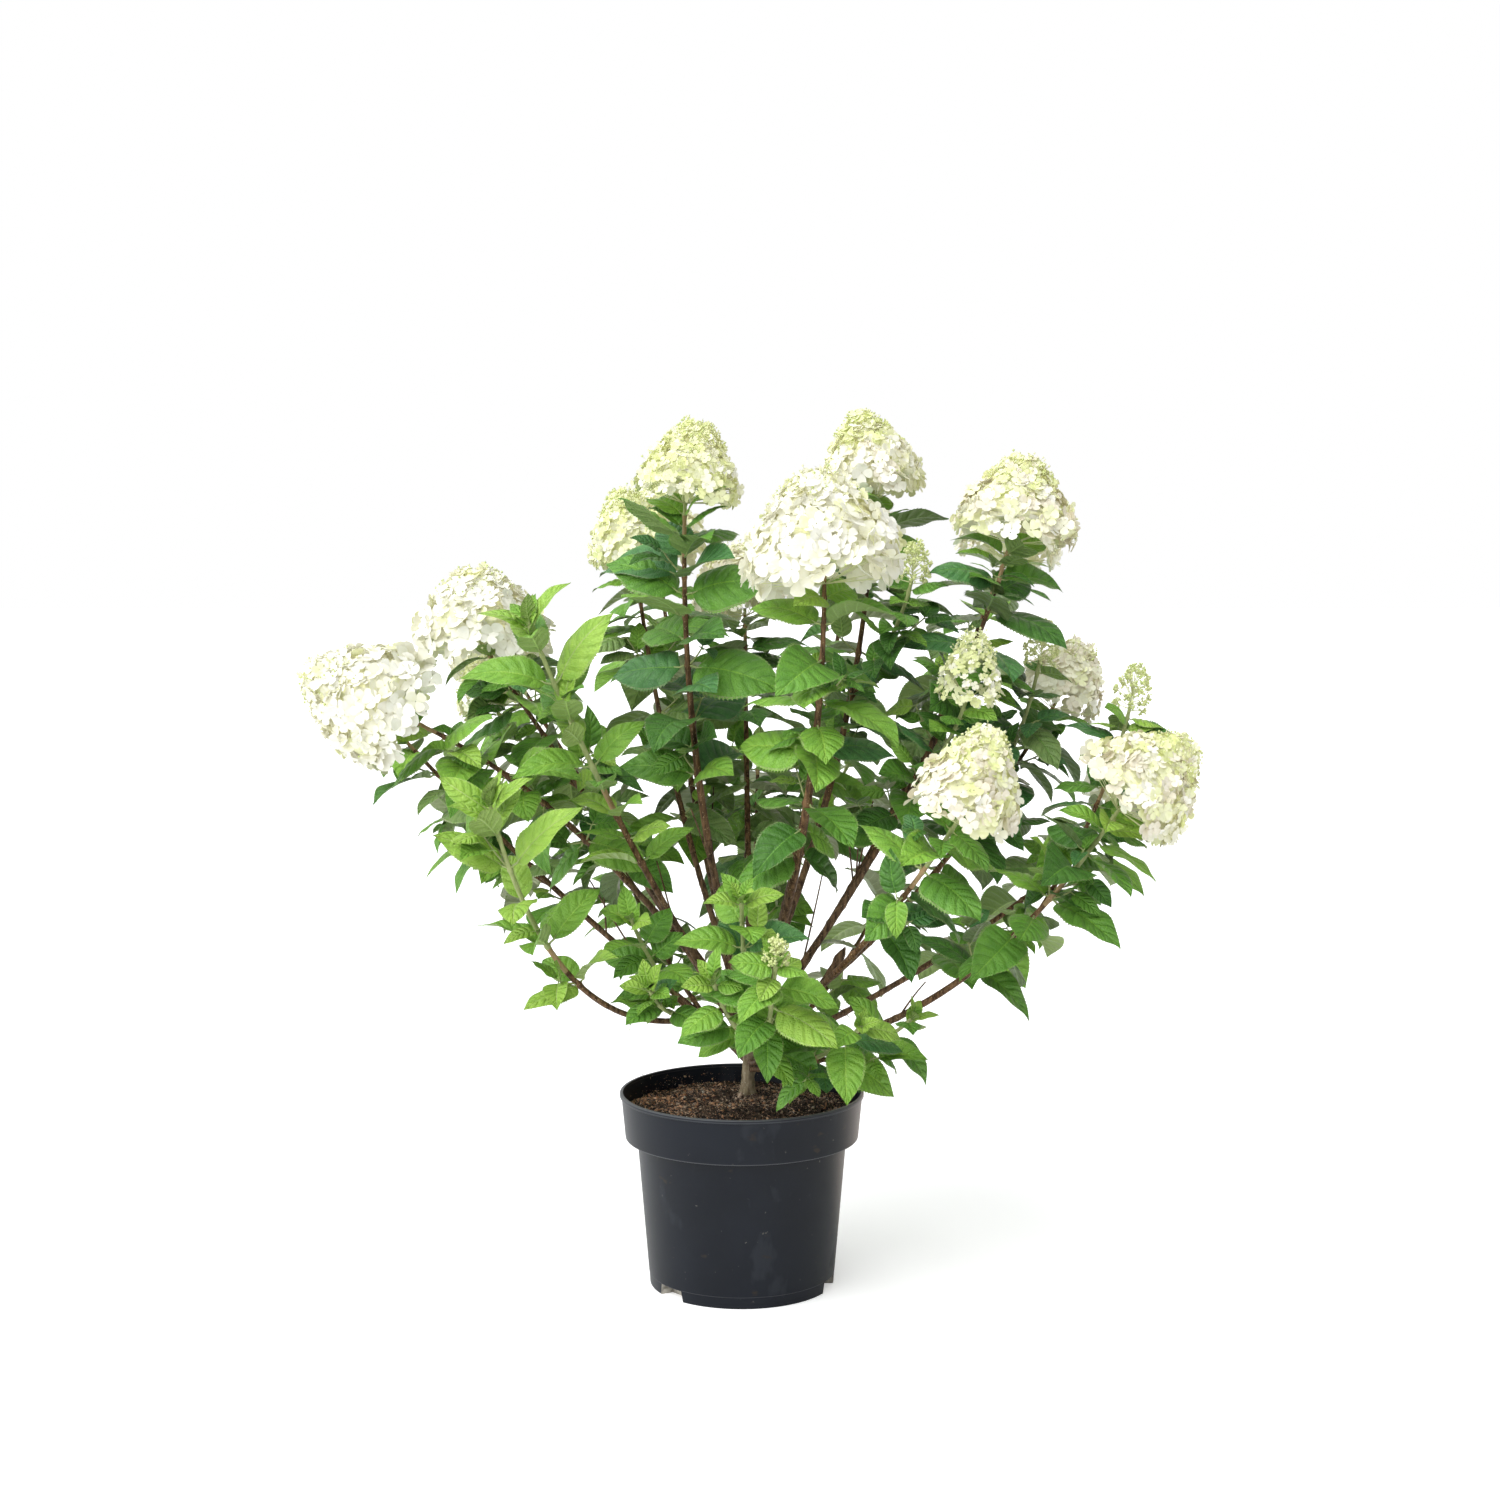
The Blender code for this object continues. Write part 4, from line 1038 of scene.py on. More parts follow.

# The leaves
# Ovate, pointed and finely toothed, in pairs or threes. Side veins sunk into the blade quilt it,
# and their grooves are painted darker as shade. A pale midrib runs on into a short stalk. Old
# leaves are blue-green, new ones yellow-green.
TRIPLE_SHARE = 0.20
NODE_TWIST = 0.25
ROOT_OFFSET = 0.0005
FLATTENING = 0.5
TIP_LIFT = (0.25, 0.55)
LIFT_LOSS = 0.12
LOWEST_LIFT = 4
DROOP = (0.05, 0.60)
FACE_OUT = (0.1, 0.7)
FACE_SWAY = 0.4
LIGHT_PULL = Vector((0, -0.35, 0))
YOUNG_SHARES = (0.62, 0.84)
FOOT_LOSS = 0.28
LENGTH_SPREAD = (0.88, 1.06)
WIDTH_SPREAD = (0.9, 1.1)
LEAF_TRIES = 5
RETRY_SWING = 0.7
RETRY_LIFT = 0.3
RETRY_SIZE = (0.72, 0.92)
SOLID_WIDTH_SHARE = 0.56
SOLID_WIDEST = 0.48
SOLID_FOLD = 0.06
SOLID_ARCH = 0.06
VISITOR = Vector((0.009, -2.56, 0.84))
VIEW_WIDTH = 0.018
VIEW_REACH = 0.2

# Where the plant is open to a visitor: the trunk, and the bare canes right of it (foot, top).
OPEN_VIEWS = (
    (TRUNK_FOOT, 0.258),
    (Vector((0.090, 0.02, 0.350)), 0.432),
    (Vector((0.108, 0.02, 0.350)), 0.432),
    (Vector((0.126, 0.02, 0.350)), 0.432),
)


def sideways(stem):
    """A way out of a stem, square to it."""
    return stem.cross(Vector(SLANT)).normalized()


class Leaf:
    """A leaf's root on its stem, the way it points and faces, and its size."""

    def __init__(self, root, along, face, length, width):
        self.root, self.along, self.length, self.width = root, along, length, width
        self.across = face.cross(along).normalized()
        self.face = along.cross(self.across).normalized()

    def place(self, along, across, up):
        """A point of the blade: shares of its length, its width and, for height, its length."""
        spot = self.along * (along * self.length) + self.across * (across * self.width)
        return self.root + spot + self.face * (up * self.length)

    def outline(self):
        """The corners of the leaf's solid, for the test of what it would touch."""
        fold = SOLID_ARCH + SOLID_FOLD
        right, left = (SOLID_WIDEST, 0.5, fold), (SOLID_WIDEST, -0.5, fold)
        corners = [(0, 0, 0), right, (1, 0, -SOLID_ARCH), left, (SOLID_WIDEST, 0, SOLID_ARCH)]
        return [self.place(*corner) for corner in corners]


def leaf_share(order, count):
    """Leaves are small under the flower head, longest below it and shorter again at the foot."""
    young = len(YOUNG_SHARES)
    if order < young:
        return YOUNG_SHARES[order]
    return 1 - FOOT_LOSS * (order - young) / max(count - young, 1)


def node_leaves(shoot, order, at, count, turn, size, rng):
    """A node's leaves. They leave the stem sideways, and face up, outwards and to the front."""
    node, stem = shoot.joint(at), shoot.curve.direction(at)
    outward = Vector((node.x, node.y, 0)).normalized()
    for i in range(count):
        away = Matrix.Rotation(turn + math.tau * i / count, 3, stem) @ sideways(stem)
        away.z *= FLATTENING
        lift = rng.uniform(*TIP_LIFT) - LIFT_LOSS * min(order, LOWEST_LIFT) + shoot.held
        droop = rng.uniform(*DROOP) * (1 - shoot.held)
        along = (away.normalized() + stem * lift - UP * droop).normalized()
        face = UP + outward * rng.uniform(*FACE_OUT) + LIGHT_PULL
        face += sway(rng, FACE_SWAY)
        length = size * leaf_share(order, len(shoot.nodes)) * rng.uniform(*LENGTH_SPREAD)
        width = length * SOLID_WIDTH_SHARE * rng.uniform(*WIDTH_SPREAD)
        yield Leaf(node + along * ROOT_OFFSET, along, face, length, width)


def shoot_leaves(shoot):
    """The leaves of one shoot, as (node, leaf), in pairs or threes that turn from node to node."""
    rng = random.Random(shoot.seed)
    turn = rng.uniform(0, math.tau)
    for order, at in enumerate(shoot.nodes):
        count = 3 if rng.random() < TRIPLE_SHARE else 2
        turn += math.pi / count + rng.uniform(-NODE_TWIST, NODE_TWIST)
        for leaf in node_leaves(shoot, order, at, count, turn, shoot.longest, rng):
            yield order, leaf


# The share of gaps between nodes that bear one more pair, on the leafiest stems.
LEAFIER = {
    "tall_left": 1.0,
    "tall_centre": 0.8,
    "top_right": 0.7,
    "right_upper": 0.8,
    "right_mid": 0.7,
    "far_right": 0.7,
    "left_shoot": 0.6,
    "low_left": 0.6,
    "left_upper": 0.5,
    "back_left": 0.5,
    "back_centre": 0.4,
}
OTHER_LEAFIER = 0.25
EXTRA_SIZE = 0.84
EXTRA_RISE = 0.001


def extra_leaves(shoot):
    """The pairs between the nodes, as (node above, leaf)."""
    rng = random.Random(shoot.seed + " extra")
    for order, (high, low) in enumerate(zip(shoot.nodes, shoot.nodes[1:])):
        if rng.random() < LEAFIER.get(shoot.mass, OTHER_LEAFIER):
            size, turn = shoot.longest * EXTRA_SIZE, rng.uniform(0, math.tau)
            middle = (high + low) / 2 + EXTRA_RISE
            for leaf in node_leaves(shoot, order, middle, 2, turn, size, rng):
                yield order, leaf


def leaf_choices(leaf, rng):
    """The leaf as it wants to grow, then swung aside and a little smaller, try after try."""
    yield leaf
    for _ in range(LEAF_TRIES):
        swing = Matrix.Rotation(rng.uniform(-RETRY_SWING, RETRY_SWING), 3, "Z")
        small = rng.uniform(*RETRY_SIZE)
        along = (swing @ leaf.along + UP * rng.uniform(-RETRY_LIFT, RETRY_LIFT)).normalized()
        yield Leaf(leaf.root, along, leaf.face, leaf.length * small, leaf.width * small)


def head_radius(height):
    """Half the head's width, as a share, at a share of its height: widest low, round on top."""
    return max(math.sin(math.pi * height**HEAD_BELLY), 0.0) ** HEAD_ROUND


OUTLINE_FACES = ((0, 4, 1), (1, 4, 2), (2, 4, 3), (3, 4, 0))


class Taken:
    """The space that leaves, stems and flower heads already fill."""

    def __init__(self):
        self.rows = []

    @staticmethod
    def space(corners, faces):
        """The lowest and highest corner of a mesh's box, and the mesh as a search tree."""
        low = [min(corner[k] for corner in corners) for k in range(3)]
        high = [max(corner[k] for corner in corners) for k in range(3)]
        return low, high, BVHTree.FromPolygons(corners, faces)

    def add(self, owner, corners, faces=OUTLINE_FACES):
        self.rows.append((owner, *self.space(corners, faces)))

    def touches(self, corners, owner):
        """Whether a leaf's outline meets anything but its owner's."""
        low, high, tree = self.space(corners, OUTLINE_FACES)
        for other, its_low, its_high, its_tree in self.rows:
            if other == owner:
                continue
            apart = any(low[k] > its_high[k] or high[k] < its_low[k] for k in range(3))
            if not apart and tree.overlap(its_tree):
                return True
        return False


HEAD_RINGS = 6
HEAD_SIDES = 8
HEAD_FOOT = 0.02
HEAD_SPAN = 0.97


def head_surface(base, aim, length, width):
    """A coarse mesh of a flower head's outline."""
    turn = UP.rotation_difference(aim).to_matrix()
    corners = []
    for i in range(HEAD_RINGS + 1):
        height = HEAD_FOOT + HEAD_SPAN * i / HEAD_RINGS
        radius = head_radius(height) * width / 2
        for j in range(HEAD_SIDES):
            spot = Vector((*polar(radius, math.tau * j / HEAD_SIDES), height * length))
            corners.append(base + turn @ spot)
    return corners, grid_faces(HEAD_RINGS + 1, HEAD_SIDES, closed=True).tolist()


def ribbon(path, width):
    """A narrow strip along a path, as a stand-in for a stem in the test of what touches."""
    aside = UP.cross(Vector((1, 0.3, 0))).normalized()
    corners = [point + aside * reach for point in path for reach in (-width, width)]
    return corners, grid_faces(len(path), 2).tolist()


CUBE = [(x, y, z) for z in (-1, 1) for x, y in ((-1, -1), (1, -1), (1, 1), (-1, 1))]
CUBE_FACES = ((3, 2, 1, 0), (4, 5, 6, 7), (0, 1, 5, 4), (1, 2, 6, 5), (2, 3, 7, 6), (3, 0, 4, 7))


def open_view(foot, top):
    """A slab from a place towards a visitor, which leaves keep clear of, as on the real plant."""
    corners = []
    for x, y, z in CUBE:
        near = Vector((foot.x + x * VIEW_WIDTH / 2, foot.y, top if z > 0 else foot.z))
        corners.append(near.lerp(VISITOR, VIEW_REACH) if y < 0 else near)
    return corners, CUBE_FACES


STEM_SPACE = 0.003
BOUGH_SPACE = 0.004
RIM_SPOTS = 25
RIM_SPACE = 0.05


def space_of_wood():
    """Heads, stems, boughs and the pot's rim, which the leaves of other shoots keep clear of."""
    taken = Taken()
    for foot, top in OPEN_VIEWS:
        taken.add("view", *open_view(foot, top))
    for shoot in shoots:
        leafy = shoot.curve.through(evenly(shoot.low, shoot.curve.length, 9))
        taken.add(shoot.mass, *ribbon(leafy, STEM_SPACE))
        if shoot.number == 0:
            bare = shoot.curve.through(evenly(0, shoot.low, 7))
            taken.add("bough_" + shoot.mass, *ribbon(bare, BOUGH_SPACE))
        if shoot.head:
            taken.add(shoot.mass, *head_surface(*shoot.head[:4]))
    turns = evenly(0, math.tau, RIM_SPOTS)
    rim = [Vector((*polar(RIM_RADIUS, turn), POT_HEIGHT)) for turn in turns]
    corners = [corner for point in rim for corner in (point, point - UP * RIM_SPACE)]
    taken.add("pot", corners, grid_faces(RIM_SPOTS, 2).tolist())
    return taken


BLADE_START = 0.10
WIDTH_SHARE = 0.59
VEINS = 6
COLUMNS = np.array([-1, -0.66, -0.33, -0.022, 0.022, 0.33, 0.66, 1])
FOOT_ROWS = (0.0, 0.10, 0.25)
VEIN_SWEEP = 0.80
VEIN_BEND = 1.35

# Half the blade's width, as (place, share of the whole), from its foot to its drawn-out tip.
OUTLINE = (
    (0, 0.06), (0.03, 0.38), (0.07, 0.64), (0.13, 0.84), (0.21, 0.96), (0.31, 1.0), (0.42, 0.99),
    (0.53, 0.935), (0.63, 0.84), (0.72, 0.71), (0.80, 0.55), (0.865, 0.385), (0.915, 0.24),
    (0.955, 0.12), (1, 0),
)
UPRIGHT = 0.5
YOUNG_WIDTH = 0.70
QUILT = 0.010
QUILT_START = 0.3
TEETH = 20
TEETH_REACH = (0.05, 0.95)
TOOTH_ROOT = 0.93
TOOTH_TIP = 1.06
TOOTH_LEAN = 1.2


def blade_grid():
    """Places of a blade's corners along and across it, its vein there, and how far each rises."""
    veins = np.concatenate([FOOT_ROWS, np.arange(0.5, VEINS + 1.1, 0.5)])
    rows = veins[:, None] / (VEINS + 1)
    reach = np.abs(COLUMNS)[None, :]
    along = 1 - (1 - rows) ** (1 + VEIN_SWEEP * reach**VEIN_BEND)
    inner = (1 - reach**3) * np.clip(6 * along * (1 - along), 0, 1)
    inner = inner * np.minimum(reach / QUILT_START, 1)
    rise = np.where(veins % 1 == 0.5, QUILT, -QUILT)[:, None] * inner
    columns = np.broadcast_to(COLUMNS, along.shape).ravel()
    sheet = [along.ravel(), columns, np.repeat(veins, len(COLUMNS)), rise.ravel()]

    # The teeth, which lean to the blade's tip, are triangles on both margins.
    marks = np.linspace(*TEETH_REACH, TEETH + 1)
    tips = marks[:-1] + (marks[1:] - marks[:-1]) * TOOTH_LEAN
    edges = ((marks[:-1], TOOTH_ROOT), (marks[1:], TOOTH_ROOT), (tips, TOOTH_TIP))
    spots = [(place, side * edge) for side in (-1, 1) for places, edge in edges for place in places]
    teeth_along, teeth_columns = np.array(spots).T
    teeth_veins = (VEINS + 1) * (1 - (1 - teeth_along) ** (1 / (1 + VEIN_SWEEP)))
    teeth = [teeth_along, teeth_columns, teeth_veins, np.zeros(6 * TEETH)]
    first = along.size + np.arange(TEETH)
    left = np.stack([first, first + TEETH, first + 2 * TEETH, np.full(TEETH, -1)], axis=1)
    right = left[:, [1, 0, 2, 3]] + np.array([3 * TEETH, 3 * TEETH, 3 * TEETH, 0])
    blade = grid_faces(len(rows), len(COLUMNS))[:, ::-1]
    places = [np.concatenate(both) for both in zip(sheet, teeth)]
    return places, np.concatenate([blade, left, right])


(ALONG, COLUMN, VEIN, QUILTING), BLADE_FACES = blade_grid()
BLADE_MARKS = np.stack([COLUMN, VEIN, np.zeros(len(VEIN))], axis=1)
STRIP_COUNT = len(COLUMNS) - 1
BLADE_ROWS = len(FOOT_ROWS) + 2 * VEINS + 1
ON_RIB = np.arange(BLADE_ROWS) * STRIP_COUNT + STRIP_COUNT // 2

# The chances in a blade's shape. Only its rise is the same in all.
BLADE_WAVES = (1.5, 2.6)
BLADE_FOLD = (0.10, 0.50)
WAVE_HEIGHT = (0.006, 0.020)
BLADE_DOME = (-2.2, 0.5)
BLADE_RISE = 0.296
BLADE_ARCH = (0.26, 0.50)
BLADE_TWIST = (-0.35, 0.35)
BLADE_BEND = (-0.10, 0.10)


def blade_points(leaf, rng):
    """The corners of one blade. It is folded, domed, waved, arched and twisted, each by chance."""
    reach = np.abs(COLUMN)
    half = np.interp(ALONG, *zip(*OUTLINE)) * WIDTH_SHARE / 2
    across = COLUMN * half * leaf.width / (leaf.length * SOLID_WIDTH_SHARE)
    wave = np.sin(math.tau * (rng.uniform(*BLADE_WAVES) * ALONG + rng.random())) * reach**2
    height = np.abs(across) * rng.uniform(*BLADE_FOLD) + QUILTING
    height = height + rng.uniform(*WAVE_HEIGHT) * wave
    height += rng.uniform(*BLADE_DOME) * across**2
    height += BLADE_RISE * ALONG - rng.uniform(*BLADE_ARCH) * ALONG**2
    twist = rng.uniform(*BLADE_TWIST) * ALONG
    height += across * np.sin(twist)
    across = across * np.cos(twist) + rng.uniform(*BLADE_BEND) * ALONG**2
    run = BLADE_START + (1 - BLADE_START) * ALONG
    axes = [np.array(axis) * leaf.length for axis in (leaf.along, leaf.across, leaf.face)]
    spots = sum(share[:, None] * axis for share, axis in zip((run, across, height), axes))
    return np.array(leaf.root) + spots


STALK_SIDES = 4
STALK_RADIUS = 0.0013
STALK_TAPER = (1.3, 1, 1, 0.5)
STALK_RISE = 0.012
STALK_END_ROW = 3

# A leaf this long has a stalk of full thickness; others' are thinner or thicker, within limits.
FULL_LEAF = 0.09
THINNEST, THICKEST = 0.6, 1.15


def add_leaf(heap, leaf, tint, rng):
    """One blade on its stalk, with a midrib that is a shade lighter."""
    points = blade_points(leaf, rng)
    slots = np.full(len(BLADE_FACES), tint)
    slots[ON_RIB] = RIB_OF[tint]
    heap.add(points, BLADE_FACES, slots, BLADE_MARKS)
    middle = len(COLUMNS) // 2
    root, blade_foot = np.array(leaf.root), points[middle - 1 : middle + 1].mean(axis=0)
    raised = (root + blade_foot) / 2 + np.array(leaf.face) * leaf.length * STALK_RISE
    path = [root, raised, blade_foot, points[STALK_END_ROW * len(COLUMNS) + middle - 1]]
    thick = STALK_RADIUS * min(max(leaf.length / FULL_LEAF, THINNEST), THICKEST)
    stalk, faces = tube(path, [thick * share for share in STALK_TAPER], STALK_SIDES)
    heap.add(stalk, faces, STALKS, np.zeros_like(stalk))


VEIN_WIDTH = 0.08
VEIN_SWELL = 0.34
RIB_WIDTH = (0.02, 0.06)
RIB_SWELL = (0.02, 0.22)
EDGE_START = 0.90
NET_SCALE = 270
NET_WIDTH = 0.16
NET_DEPTH = 0.30

# Side veins fade to this share, from this far out to the margin.
FADED_VEIN = 0.15
FADE_START = 0.55


def leaf_relief_group():
    """Where a blade's veins and its edge are, and how it swells between its veins."""
    outputs = [("Vein", VALUE), ("Rib", VALUE), ("Edge", VALUE), ("Height", VALUE)]
    made, _, end = new_group("leaf_relief", [], outputs)

    def soft(value, low, high, start=0, stop=1):
        return made.ranged(value, low, high, start, stop, "SMOOTHSTEP")

    blade = made.node("Attribute", attribute_name="blade").outputs["Vector"]
    parts = made.node("SeparateXYZ", {"Vector": blade}).outputs
    aside = made.math("ABSOLUTE", parts["X"])
    off_vein = made.math("PINGPONG", parts["Y"], 0.5)
    place = made.node("TexCoord").outputs["Object"]
    values = {"Vector": place, "Scale": NET_SCALE}
    net = made.node("TexVoronoi", values, feature="DISTANCE_TO_EDGE").outputs["Distance"]
    faded = soft(aside, FADE_START, 1, 1, FADED_VEIN)
    swell = made.math("MULTIPLY", soft(off_vein, 0, VEIN_SWELL), soft(aside, *RIB_SWELL))
    netted = made.math("MULTIPLY", soft(net, 0, NET_WIDTH), NET_DEPTH)
    made.fill(end, {
        "Vein": made.math("MULTIPLY", soft(off_vein, 0, VEIN_WIDTH, 1, 0), faded),
        "Rib": soft(aside, *RIB_WIDTH, 1, 0),
        "Edge": soft(aside, EDGE_START, 1),
        "Height": made.math("ADD", swell, netted),
    })
    return made.tree


LEAF_RELIEF = leaf_relief_group()
# The painted shade in the side veins' grooves: their colour as a share of the blade's.
VEIN_SHADE = 0.62
EDGE_PALENESS = 1.45
RIDGE_PALENESS = 1.55
RIDGE_LIFT = 0.04
RIDGE_SHARE = 0.55
EDGE_SHARE = 0.45


def leaf_paint(name, top, second, under, vein_shade):
    """A leaf's waxy upper side with veins painted darker as shade in their grooves, a pale edge,
    and its duller underside.
    """
    made = Finish(name, roughness=0.41, specular=0.40)
    relief = made.node("Group", node_tree=LEAF_RELIEF).outputs
    colour = made.mottle(top, second, 70, low=0.35, high=0.65)["Color"]
    dark, pale = [c * VEIN_SHADE for c in top], [c * EDGE_PALENESS for c in second]
    ridges = [c * RIDGE_PALENESS + RIDGE_LIFT for c in under]
    raised = made.math("MAXIMUM", relief["Vein"], relief["Rib"])
    below = made.mix(made.between(raised, 0, RIDGE_SHARE), under, ridges)
    # Painted shade: the side veins are darkened as their grooves would be in shade.
    colour = made.mix(made.between(relief["Vein"], 0, vein_shade), colour, dark)
    colour = made.mix(made.between(relief["Edge"], 0, EDGE_SHARE), colour, pale)
    colour = made.mix(made.node("NewGeometry").outputs["Backfacing"], colour, below)
    made.shade({"Base Color": colour})
    made.bump(relief["Height"], 0.0016, 0.85)
    return made.material


DEEP, BLUE, MID, FRESH, YOUNG, OLIVE, STALKS, RUST = range(8)
RIB_OF = {DEEP: MID, BLUE: MID, MID: FRESH, FRESH: YOUNG, YOUNG: STALKS, OLIVE: MID, RUST: STALKS}

# Leaf paints: (name, two tones of the upper side, the underside, how strongly the side veins are
# painted dark as shade).
LEAF_TONES = (
    ("leaf_deep", (0.054, 0.165, 0.022), (0.084, 0.228, 0.032), (0.200, 0.285, 0.110), 0.80),
    ("leaf_blue", (0.068, 0.208, 0.058), (0.102, 0.272, 0.072), (0.210, 0.300, 0.130), 0.75),
    ("leaf_mid", (0.116, 0.300, 0.036), (0.162, 0.375, 0.048), (0.255, 0.370, 0.120), 0.70),
    ("leaf_fresh", (0.188, 0.410, 0.046), (0.250, 0.485, 0.060), (0.300, 0.430, 0.130), 0.48),
    ("leaf_young", (0.285, 0.505, 0.064), (0.365, 0.580, 0.086), (0.360, 0.500, 0.145), 0.36),
    ("leaf_olive", (0.170, 0.290, 0.078), (0.235, 0.355, 0.104), (0.420, 0.470, 0.270), 0.55),
    ("leaf_stalk", (0.370, 0.460, 0.170), (0.450, 0.520, 0.220), (0.380, 0.450, 0.210), 0.00),
    ("leaf_rust", (0.620, 0.260, 0.025), (0.720, 0.400, 0.050), (0.560, 0.300, 0.060), 0.40),
)
LEAVES = [leaf_paint(*tones) for tones in LEAF_TONES]

# Shares of the first six paints on each cane, in their order. Canes not named share the last row.
TINTS = {
    "tall_left": (3, 4, 3, 1, 0, 0),
    "tall_centre": (1, 1, 6, 3, 0, 0),
    "top_right": (4, 1, 4, 1, 0, 0),
    "right_upper": (6, 1, 3, 1, 0, 0),
    "right_mid": (6, 2, 1, 0, 0, 1),
    "far_right": (2, 1, 5, 3, 0, 0),
    "front_right": (6, 3, 2, 1, 0, 0),
    "far_left": (1, 0, 4, 4, 0, 0),
    "left_upper": (2, 1, 4, 3, 0, 1),
    "left_shoot": (0, 0, 1, 6, 3, 0),
    "low_left": (0, 0, 0, 5, 5, 0),
    "front_mid": (0, 0, 4, 4, 1, 0),
    "front_rosette": (0, 1, 3, 4, 1, 0),
    "low_right": (1, 1, 5, 3, 0, 0),
    "low_inner": (0, 1, 4, 4, 0, 0),
    "others": (1, 0, 3, 4, 0, 4),
}
YOUNGER = {DEEP: MID, BLUE: MID, MID: FRESH, FRESH: YOUNG}


def pick_tint(shoot, order, rng):
    """The youngest leaves of a shoot are a step lighter than those below."""
    shares = TINTS.get(shoot.mass, TINTS["others"])
    tint = rng.choices(range(len(shares)), shares)[0]
    return YOUNGER.get(tint, tint) if order == 0 else tint


TWIG_SHARE = 0.62
TWIG_LENGTH = (0.018, 0.052)
TWIG_FIRST_NODE = 2
TWIG_RADII = np.linspace(0.0011 * 1.2, 0.0011 * 0.8, 5)
TWIG_SIDES = 5
TWIG_AHEAD = (0.5, 1.3)
TWIG_RISE = 0.2
TWIG_SAG = 0.05
TWIG_LEAF = (0.034, 0.062)
TWIG_LEAF_WIDTH = SOLID_WIDTH_SHARE * 0.92
TWIG_LEAF_AHEAD = (0.3, 0.9)
TWIG_LEAF_DROOP = (0, 0.35)
YOUNG_ON_TWIG = 0.3

# A twig's leaves stand at its tip, now and then just below in a smaller pair, and half way down
# if it is long enough.
SECOND_PAIR, SECOND_SIZE = 0.98, 0.75
LOWER_PAIR, LOWER_PAIR_FROM = 0.55, 0.032


def grow_twig(leaf, shoot, order, taken, leaves, rng):
    """A short twig out of a leaf's axil, with pairs of small leaves."""
    stem = shoot.curve.direction(shoot.nodes[order])
    aim = (leaf.along + stem * rng.uniform(*TWIG_AHEAD) + UP * TWIG_RISE).normalized()
    length = rng.uniform(*TWIG_LENGTH)
    twig = Cane(leaf.root, leaf.root + aim * length, arch=-TWIG_SAG * length)
    turn = rng.uniform(0, math.tau)
    second, lower = rng.choice((0, 2)), 2 if length > LOWER_PAIR_FROM else 0
    grown = []
    for place, count in ((1.0, 2), (SECOND_PAIR, second), (LOWER_PAIR, lower)):
        turn += math.pi / 2
        for i in range(count):
            away = Matrix.Rotation(turn + math.pi * i, 3, aim) @ sideways(aim)
            along = away + aim * rng.uniform(*TWIG_LEAF_AHEAD)
            along = (along - UP * rng.uniform(*TWIG_LEAF_DROOP)).normalized()
            face = UP + LIGHT_PULL + sway(rng, FACE_SWAY)
            size = rng.uniform(*TWIG_LEAF) * (SECOND_SIZE if place == SECOND_PAIR else 1)
            small = Leaf(twig.at(place * length), along, face, size, size * TWIG_LEAF_WIDTH)
            if not taken.touches(small.outline(), None):
                grown.append(small)
    if len(grown) < 2:
        return
    for small in grown:
        taken.add((shoot.seed, order), small.outline())
        tint = pick_tint(shoot, 0 if rng.random() < YOUNG_ON_TWIG else 2, rng)
        add_leaf(leaves, small, tint, rng)
    path = twig.through(evenly(0, length, len(TWIG_RADII)))
    stems.add(*tube(path, TWIG_RADII, TWIG_SIDES), STEM_GREEN)


TUFT_LEAVES = 5
TUFT_LEAF = (0.022, 0.042)
TUFT_LEAF_WIDTH = SOLID_WIDTH_SHARE * 0.85
TUFT_REACH = 0.010
TUFT_AHEAD = (0.9, 1.6)
TUFT_RISE = 0.3
TUFT_TURN_IN = 0.8
TUFT_LIGHT = 0.5
YOUNG_IN_TUFT = 0.6


def grow_tuft(shoot, taken, leaves, rng):
    """The youngest leaves, which still stand upright round the tip of a stem without flowers."""
    tip, stem = shoot.curve.at(shoot.curve.length), shoot.curve.direction(shoot.curve.length)
    turn = rng.uniform(0, math.tau)
    for i in range(TUFT_LEAVES):
        turn += math.pi / 2 if i % 2 else math.pi
        away = Matrix.Rotation(turn, 3, stem) @ sideways(stem)
        along = (stem * rng.uniform(*TUFT_AHEAD) + away + UP * TUFT_RISE).normalized()
        face = (stem - away * TUFT_TURN_IN + LIGHT_PULL * TUFT_LIGHT).normalized()
        size = rng.uniform(*TUFT_LEAF)
        root = tip - stem * rng.uniform(0, TUFT_REACH)
        small = Leaf(root, along, face, size, size * TUFT_LEAF_WIDTH)
        add_leaf(leaves, small, YOUNG if rng.random() < YOUNG_IN_TUFT else FRESH, rng)
        taken.add(shoot.mass, small.outline())


def place_leaf(leaf, shoot, order, tries, looks, taken, own, leaves):
    """Adds the first of a leaf's choices that meets nothing but its own stem, and returns it."""
    for choice in leaf_choices(leaf, tries):
        outline = choice.outline()
        if not taken.touches(outline, shoot.mass) and not own.touches(outline, (shoot.seed, order)):
            taken.add(shoot.mass, outline)
            own.add((shoot.seed, order), outline)
            if shoot.held > UPRIGHT:
                choice.width *= YOUNG_WIDTH
            add_leaf(leaves, choice, pick_tint(shoot, order, looks), looks)
            return choice
    return None


FADED_PLACE = 0.66
FADED_LENGTH = 0.030
FADED_ALONG = (-0.45, -0.55, -0.62)
FADED_FACE = (0.1, -1.0, 0.35)


def add_faded_leaf(leaves, rng):
    """One small yellowed leaf, low inside the crown, that is about to drop."""
    cane = curves["low_inner"]
    root, along = cane.at(FADED_PLACE * cane.length), Vector(FADED_ALONG).normalized()
    width = FADED_LENGTH * SOLID_WIDTH_SHARE
    add_leaf(leaves, Leaf(root, along, Vector(FADED_FACE), FADED_LENGTH, width), RUST, rng)


